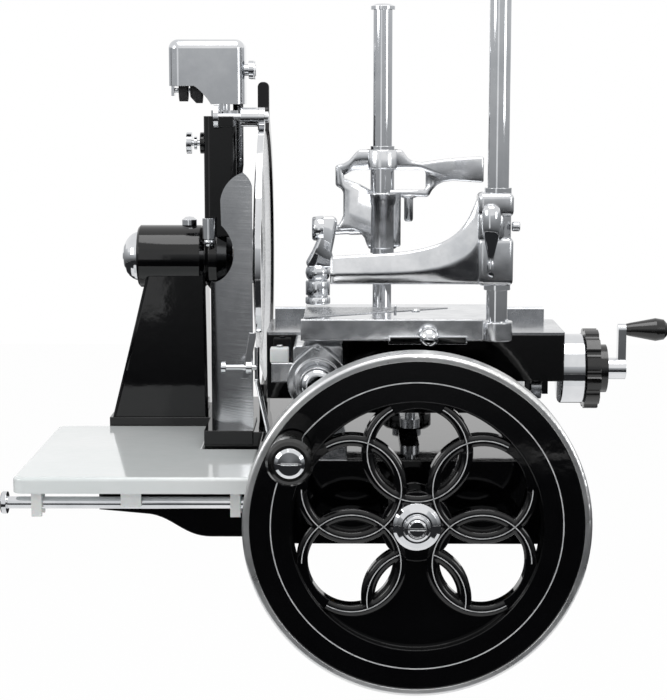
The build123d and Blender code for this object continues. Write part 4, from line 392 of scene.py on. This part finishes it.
# ---------------------------------------------------------------- front clamp
# One alloy casting, filed and polished by hand: a split socket on the front rod and a long arm
# whose upper edge sweeps down to the left, with a flat band along the bottom.
def slab(shape, outline, front, back, ease=0.0, segments=3):
    """Plate with an outline in X and Z, between two depths, with its edges eased."""
    corners = [shape.verts.new((x, front, z)) for x, z in outline]
    face = shape.faces.new(corners)
    moved = pulled(shape, [face], (0.0, back - front, 0.0))
    around = {f for v in corners + moved for f in v.link_faces}
    bmesh.ops.recalc_face_normals(shape, faces=list(around))
    if ease:
        sharp = [e for e in {e for f in around for e in f.edges} if e.calc_face_angle(0.0) > radians(28)]
        bmesh.ops.bevel(shape, geom=sharp, offset=ease, segments=segments, profile=0.5,
                        affect="EDGES", clamp_overlap=True, material=-1)


def block(shape, low, high, ease=0.0, segments=3):
    """Block between two corners, with its edges eased."""
    slab(shape, ((low[0], low[2]), (high[0], low[2]), (high[0], high[2]), (low[0], high[2])),
         low[1], high[1], ease, segments)


def lathe(shape, profile, centre, axis, steps=40):
    """Turned form: distances along an axis from a centre, and radii."""
    turn = Vector(axis).to_track_quat("Z", "Y").to_matrix()
    line = [shape.verts.new(Vector(centre) + turn @ Vector((radius, 0.0, along)))
            for along, radius in profile]
    edges = [shape.edges.new(pair) for pair in zip(line, line[1:])]
    bmesh.ops.spin(shape, geom=line + edges, cent=centre, axis=axis, dvec=(0, 0, 0),
                   angle=2 * pi, steps=steps, use_merge=True)
    bmesh.ops.remove_doubles(shape, verts=shape.verts, dist=0.001)


def loft(shape, sections):
    """Skin over closed sections of equal count, with both ends closed."""
    rings = []
    for points in sections:
        ring = [shape.verts.new(point) for point in points]
        rings.append([shape.edges.new((ring[n - 1], ring[n])) for n in range(len(ring))])
    for first, second in zip(rings, rings[1:]):
        bmesh.ops.bridge_loops(shape, edges=first + second)
    for ring in (rings[0], rings[-1]):
        bmesh.ops.edgeloop_fill(shape, edges=ring)


def softened(piece, levels=2):
    """Subdivision surface, for forms that are filed round."""
    turn = piece.modifiers.new("filed_round", "SUBSURF")
    turn.levels = levels
    turn.render_levels = levels
    return piece


arm_y = -220.0
shape = bmesh.new()
sections = []
for x, crease, top, thick in (
        (-50, 347, 364, 9), (-49, 348, 368.5, 11.5), (-40, 348.5, 369.5, 12), (3, 349, 371.5, 12),
        (43, 350, 374, 12), (66, 352, 378, 12), (89, 356, 384.5, 12.5), (107, 362, 394.5, 13),
        (121, 370, 409, 14), (130, 380, 427, 15), (137, 392, 448, 16), (150, 400, 449, 16)):
    front, rear = arm_y - thick, arm_y + thick
    sections.append([
        (x, front + 6.5, 333), (x, front + 5.6, 335), (x, front, crease - 2), (x, front + 1, crease + 1),
        (x, arm_y - 0.45 * thick, top - 2), (x, arm_y - 0.3 * thick, top),
        (x, arm_y + 0.3 * thick, top), (x, arm_y + 0.45 * thick, top - 2),
        (x, rear - 1, crease + 1), (x, rear, crease - 2), (x, rear, 336), (x, rear, 333)])
loft(shape, sections)
front_arm = softened(fitted("front_clamp_arm", shape, polished_alloy, "front_arm", 70.0))
shape = bmesh.new()
for low, high in (((136, -243, 420), (180.5, -197, 449.4)), ((136, -243, 333), (180.5, -197, 394)),
                  ((136, -243, 388), (169, -197, 426))):
    block(shape, low, high, 6.5, 4)
lathe(shape, ((0, 0), (0, 5), (1, 6), (9, 6), (10, 5), (10, 0)), (179, -229, 407), (1, 0, 0), 24)
lathe(shape, ((0, 0), (0, 2.6), (16, 2.6), (16, 0)), (174, -229, 396), (0, 0, 1), 16)
fitted("front_clamp_socket", shape, polished_alloy, "front_arm", 40.0)
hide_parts("front_arm")

# ---------------------------------------------------------------- cam lever
# Drop-forged and plated: a flat heart-shaped cam on a pin, running down into a thin round tail.
cam_x, cam_y = 151, -256.3
shape = bmesh.new()
sections = []
for z, wide, deep in (
        (436, 4, 3), (434.5, 9, 7), (430, 12.2, 10), (420, 12.8, 11.5), (408, 12.6, 11.5),
        (398, 11.5, 10.5), (388, 8.2, 8), (376, 5.2, 5.4), (366, 3.6, 3.8), (364, 5.2, 5.2),
        (356, 5.0, 5.0), (348, 4.6, 4.6), (345, 2.6, 2.6)):
    sections.append([(cam_x + wide * cos(radians(a)), cam_y + deep * sin(radians(a)), z)
                     for a in range(0, 360, 36)])
loft(shape, sections)
cam = softened(fitted("cam_lever_forging", shape, chrome, "cam_lever", 70.0), 1)
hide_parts("cam_lever")

# ---------------------------------------------------------------- rear clamp
# The second alloy casting: a tube on the rear rod, a shouldered head with a window through it, an
# arm to the right and a wing on the left that carries the link of the press.
shape = bmesh.new()
slab(shape, ((-45, 474), (-40, 475), (-33, 477), (-26, 481), (-20, 488), (-15, 494), (-10, 496), (48, 496),
             (52, 491), (57, 484), (64, 480), (76, 478), (110, 483), (163, 487), (163, 450), (120, 453),
             (106, 451), (98, 447), (91, 440), (86, 431), (82, 430), (60, 431), (47, 432), (47, 360),
             (0, 360), (-4, 372), (-10, 380), (-20, 384), (-38, 383), (-44, 386), (-37, 396), (-34, 404),
             (-34, 438), (-38, 442), (-45, 446)),
     27, 53, 5.0, 4)
head = fitted("rear_clamp_head", shape, polished_alloy, "rear_clamp", 50.0)
shape = bmesh.new()
slab(shape, ((-34, 460), (-22, 466.5), (-16, 468), (76, 468), (81, 466), (82, 462), (82, 443), (80, 439.5),
             (4, 439.5), (-10, 447), (-32, 455)), 20, 60)
window = fitted("window_tool", shape, polished_alloy, "rear_clamp")
cut = head.modifiers.new("window", "BOOLEAN")
cut.operation = "DIFFERENCE"
cut.object = window
bpy.context.view_layer.update()
opened = bpy.data.meshes.new_from_object(head.evaluated_get(bpy.context.evaluated_depsgraph_get()))
head.modifiers.clear()
head.data = opened
bpy.data.objects.remove(window)
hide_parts("rear_clamp")

rod_bore = 17.2
shape = bmesh.new()
lathe(shape, ((0, rod_bore), (0, 19), (1.5, 20.6), (60, 20.6), (66, 22.5), (78, 23.5), (79, 22.5),
              (79, rod_bore)), (21, 40, 357), (0, 0, 1), 48)
lathe(shape, ((0, rod_bore), (0, 22), (2, 24), (24, 24), (27, 22.5), (27, rod_bore)),
      (21, 40, 469), (0, 0, 1), 48)
lathe(shape, ((0, 0), (0, 5), (1, 7.2), (22, 7.2), (26, 8.5), (60, 9.5), (74, 14), (74, 0)),
      (-50, 40, 383), (1, 0, 0.05), 32)
lathe(shape, ((0, 0), (-1, 4), (-2, 6.5), (-32, 6.5), (-35, 5), (-36, 0)), (58, 32, 431), (0, 0, 1), 28)
lathe(shape, ((0, 0), (0, 12), (-3, 12), (-5, 7), (-5, 0)), (58, 36, 433), (0, 0, 1), 28)
fitted("rear_clamp_tube", shape, polished_alloy, "rear_clamp", 40.0)

# ---------------------------------------------------------------- press link and foot
# A flat forked link hangs from the wing's pin under a wide slotted screw.  Below it a ball joint
# carries the round foot that presses on the meat.
shape = bmesh.new()
slab(shape, ((-67, 398), (-62, 402), (-46, 402), (-42, 396), (-46, 372), (-50, 352), (-46, 336), (-52, 330),
             (-84, 330), (-87, 338), (-78, 354), (-70, 372)), 27, 53, 4.0, 3)
lathe(shape, ((0, 0), (-10, 0.1), (-12, 8), (-12, 15), (-10, 17), (0, 18), (4, 18), (4, 0)),
      (-66, 40, 385), (1, 0, 0), 40)
link = fitted("press_link_forging", shape, chrome, "press_link", 45.0)
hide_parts("press_link")
shape = bmesh.new()
lathe(shape, ((58, 0), (58, 9), (55, 14), (50, 17), (44, 18), (38, 16.5), (34, 13.5), (33, 16.8), (31, 17.6),
              (14, 17.6), (12.5, 17), (12, 14.5), (10.5, 14.5), (10, 17), (8, 18), (1.2, 18), (0, 17), (0, 0)),
      (-70, 40, 278), (0, 0, 1), 48)
foot = fitted("press_foot_turned", shape, chrome, "press_foot", 30.0)
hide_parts("press_foot")

# ---------------------------------------------------------------- screws
# Slotted screws, turned and plated, hold the sleeve's flange.  The table's front has the slot of
# its lever in a plated frame, drawn as a thin black strip of painted shade, and a small white
# block sits on the carriage.
def screw_head(shape, centre, axis, radius, height, turned_by=0.0):
    """Slotted head whose seat is at the centre and that stands up along the axis."""
    head = bmesh.new()
    bmesh.ops.create_cone(head, cap_ends=True, segments=28, radius1=radius, radius2=radius * 0.9,
                          depth=height)
    bmesh.ops.translate(head, verts=head.verts, vec=(0, 0, height / 2))
    for side in (-1, 1):
        bmesh.ops.bisect_plane(head, geom=head.verts[:] + head.edges[:] + head.faces[:],
                               plane_co=(side * radius * 0.13, 0, 0), plane_no=(1, 0, 0))
    slot = [f for f in head.faces if f.normal.z > 0.9 and abs(f.calc_center_median().x) < radius * 0.1]
    sunk = bmesh.ops.inset_region(head, faces=slot, thickness=radius * 0.02)
    slot = [f for f in head.faces if f.normal.z > 0.9 and abs(f.calc_center_median().x) < radius * 0.1
            and f not in sunk["faces"]]
    bmesh.ops.translate(head, verts=list({v for f in slot for v in f.verts}), vec=(0, 0, -height * 0.4))
    place = Vector(axis).to_track_quat("Z", "Y").to_matrix().to_4x4()
    place = Matrix.Translation(centre) @ place @ Matrix.Rotation(radians(turned_by), 4, "Z")
    bmesh.ops.transform(head, verts=head.verts, matrix=place)
    loose = bpy.data.meshes.new("loose_head")
    head.to_mesh(loose)
    head.free()
    shape.from_mesh(loose)
    bpy.data.meshes.remove(loose)


shape = bmesh.new()
screw_head(shape, (-66, -211, 248.8), (0, -1, 0), 4.3, 2.0, 70)
screw_head(shape, (-66, -216, 231.5), (0, -1, 0), 3.6, 1.6, 25)
lathe(shape, ((0, 0), (0, 4.5), (3, 4.5), (4, 3), (4, 0)), (-118, -123, 237.6), (0, 0, 1), 24)
fitted("carriage_screws", shape, chrome, "carriage")
# The lever's slot is not cut: a thin black strip stands proud of the plated frame, painted shade where the
# open slot would be dark.
shape = bmesh.new()
block(shape, (26.5, -233.0, 259.4), (122.5, -231.9, 266.8), 0.3, 1)
fitted("lever_slot", shape, black_enamel, "table")
shape = bmesh.new()
block(shape, (24.5, -232.2, 257.6), (124.5, -229.9, 268.6), 0.5, 2)
fitted("lever_slot_frame", shape, chrome, "table")
shape = bmesh.new()
block(shape, (-130.5, -134, 219.2), (-106, -113, 238), 1.6, 3)
fitted("wick_oiler", shape, nylon, "carriage")

# ---------------------------------------------------------------- stop plate and pins on the table
# A thin ground wedge lies on the table, with an upright pin and a low screw beside it.
table_top = 289.1
shape = bmesh.new()
corners = [shape.verts.new((x, y, table_top)) for x, y in ((-83, -222), (106, -116), (106, -112), (-83, -112))]
pulled(shape, [shape.faces.new(corners)], (0, 0, 1.8))
bmesh.ops.recalc_face_normals(shape, faces=shape.faces)
bmesh.ops.bevel(shape, geom=shape.edges[:], offset=0.4, segments=2, profile=0.5, affect="EDGES",
                material=-1)
fitted("stop_plate", shape, bright_steel, "table")
shape = bmesh.new()
lathe(shape, ((0, 0), (0, 1.8), (12, 1.8), (12.6, 1.2), (12.6, 0)), (34, -186, table_top), (0, 0, 1), 20)
lathe(shape, ((0, 0), (0, 5.5), (2, 5.5), (4, 3.6), (4.6, 0)), (62, -150, table_top), (0, 0, 1), 28)
fitted("stop_pins", shape, chrome, "table")

# ---------------------------------------------------------------- sharpener stay
# A black iron web stands beside the sharpener's post, with a bright strap screwed on it.
shape = bmesh.new()
slab(shape, ((-197, 580), (-187, 580), (-182, 566), (-182, 470), (-187, 430), (-197, 410)), 158, 168, 1.5, 2)
fitted("post_web", shape, black_enamel, "frame")
shape = bmesh.new()
slab(shape, ((-189.5, 558), (-184, 562), (-182.5, 540), (-184, 470), (-189.5, 466)), 154.5, 158, 0.6, 2)
for z in (550, 512, 478):
    lathe(shape, ((0, 0), (0, 2.6), (1.6, 2.6), (2.2, 1.8), (2.2, 0)), (-186.4, 154.5, z), (0, -1, 0), 20)
fitted("post_strap", shape, bright_steel, "frame")
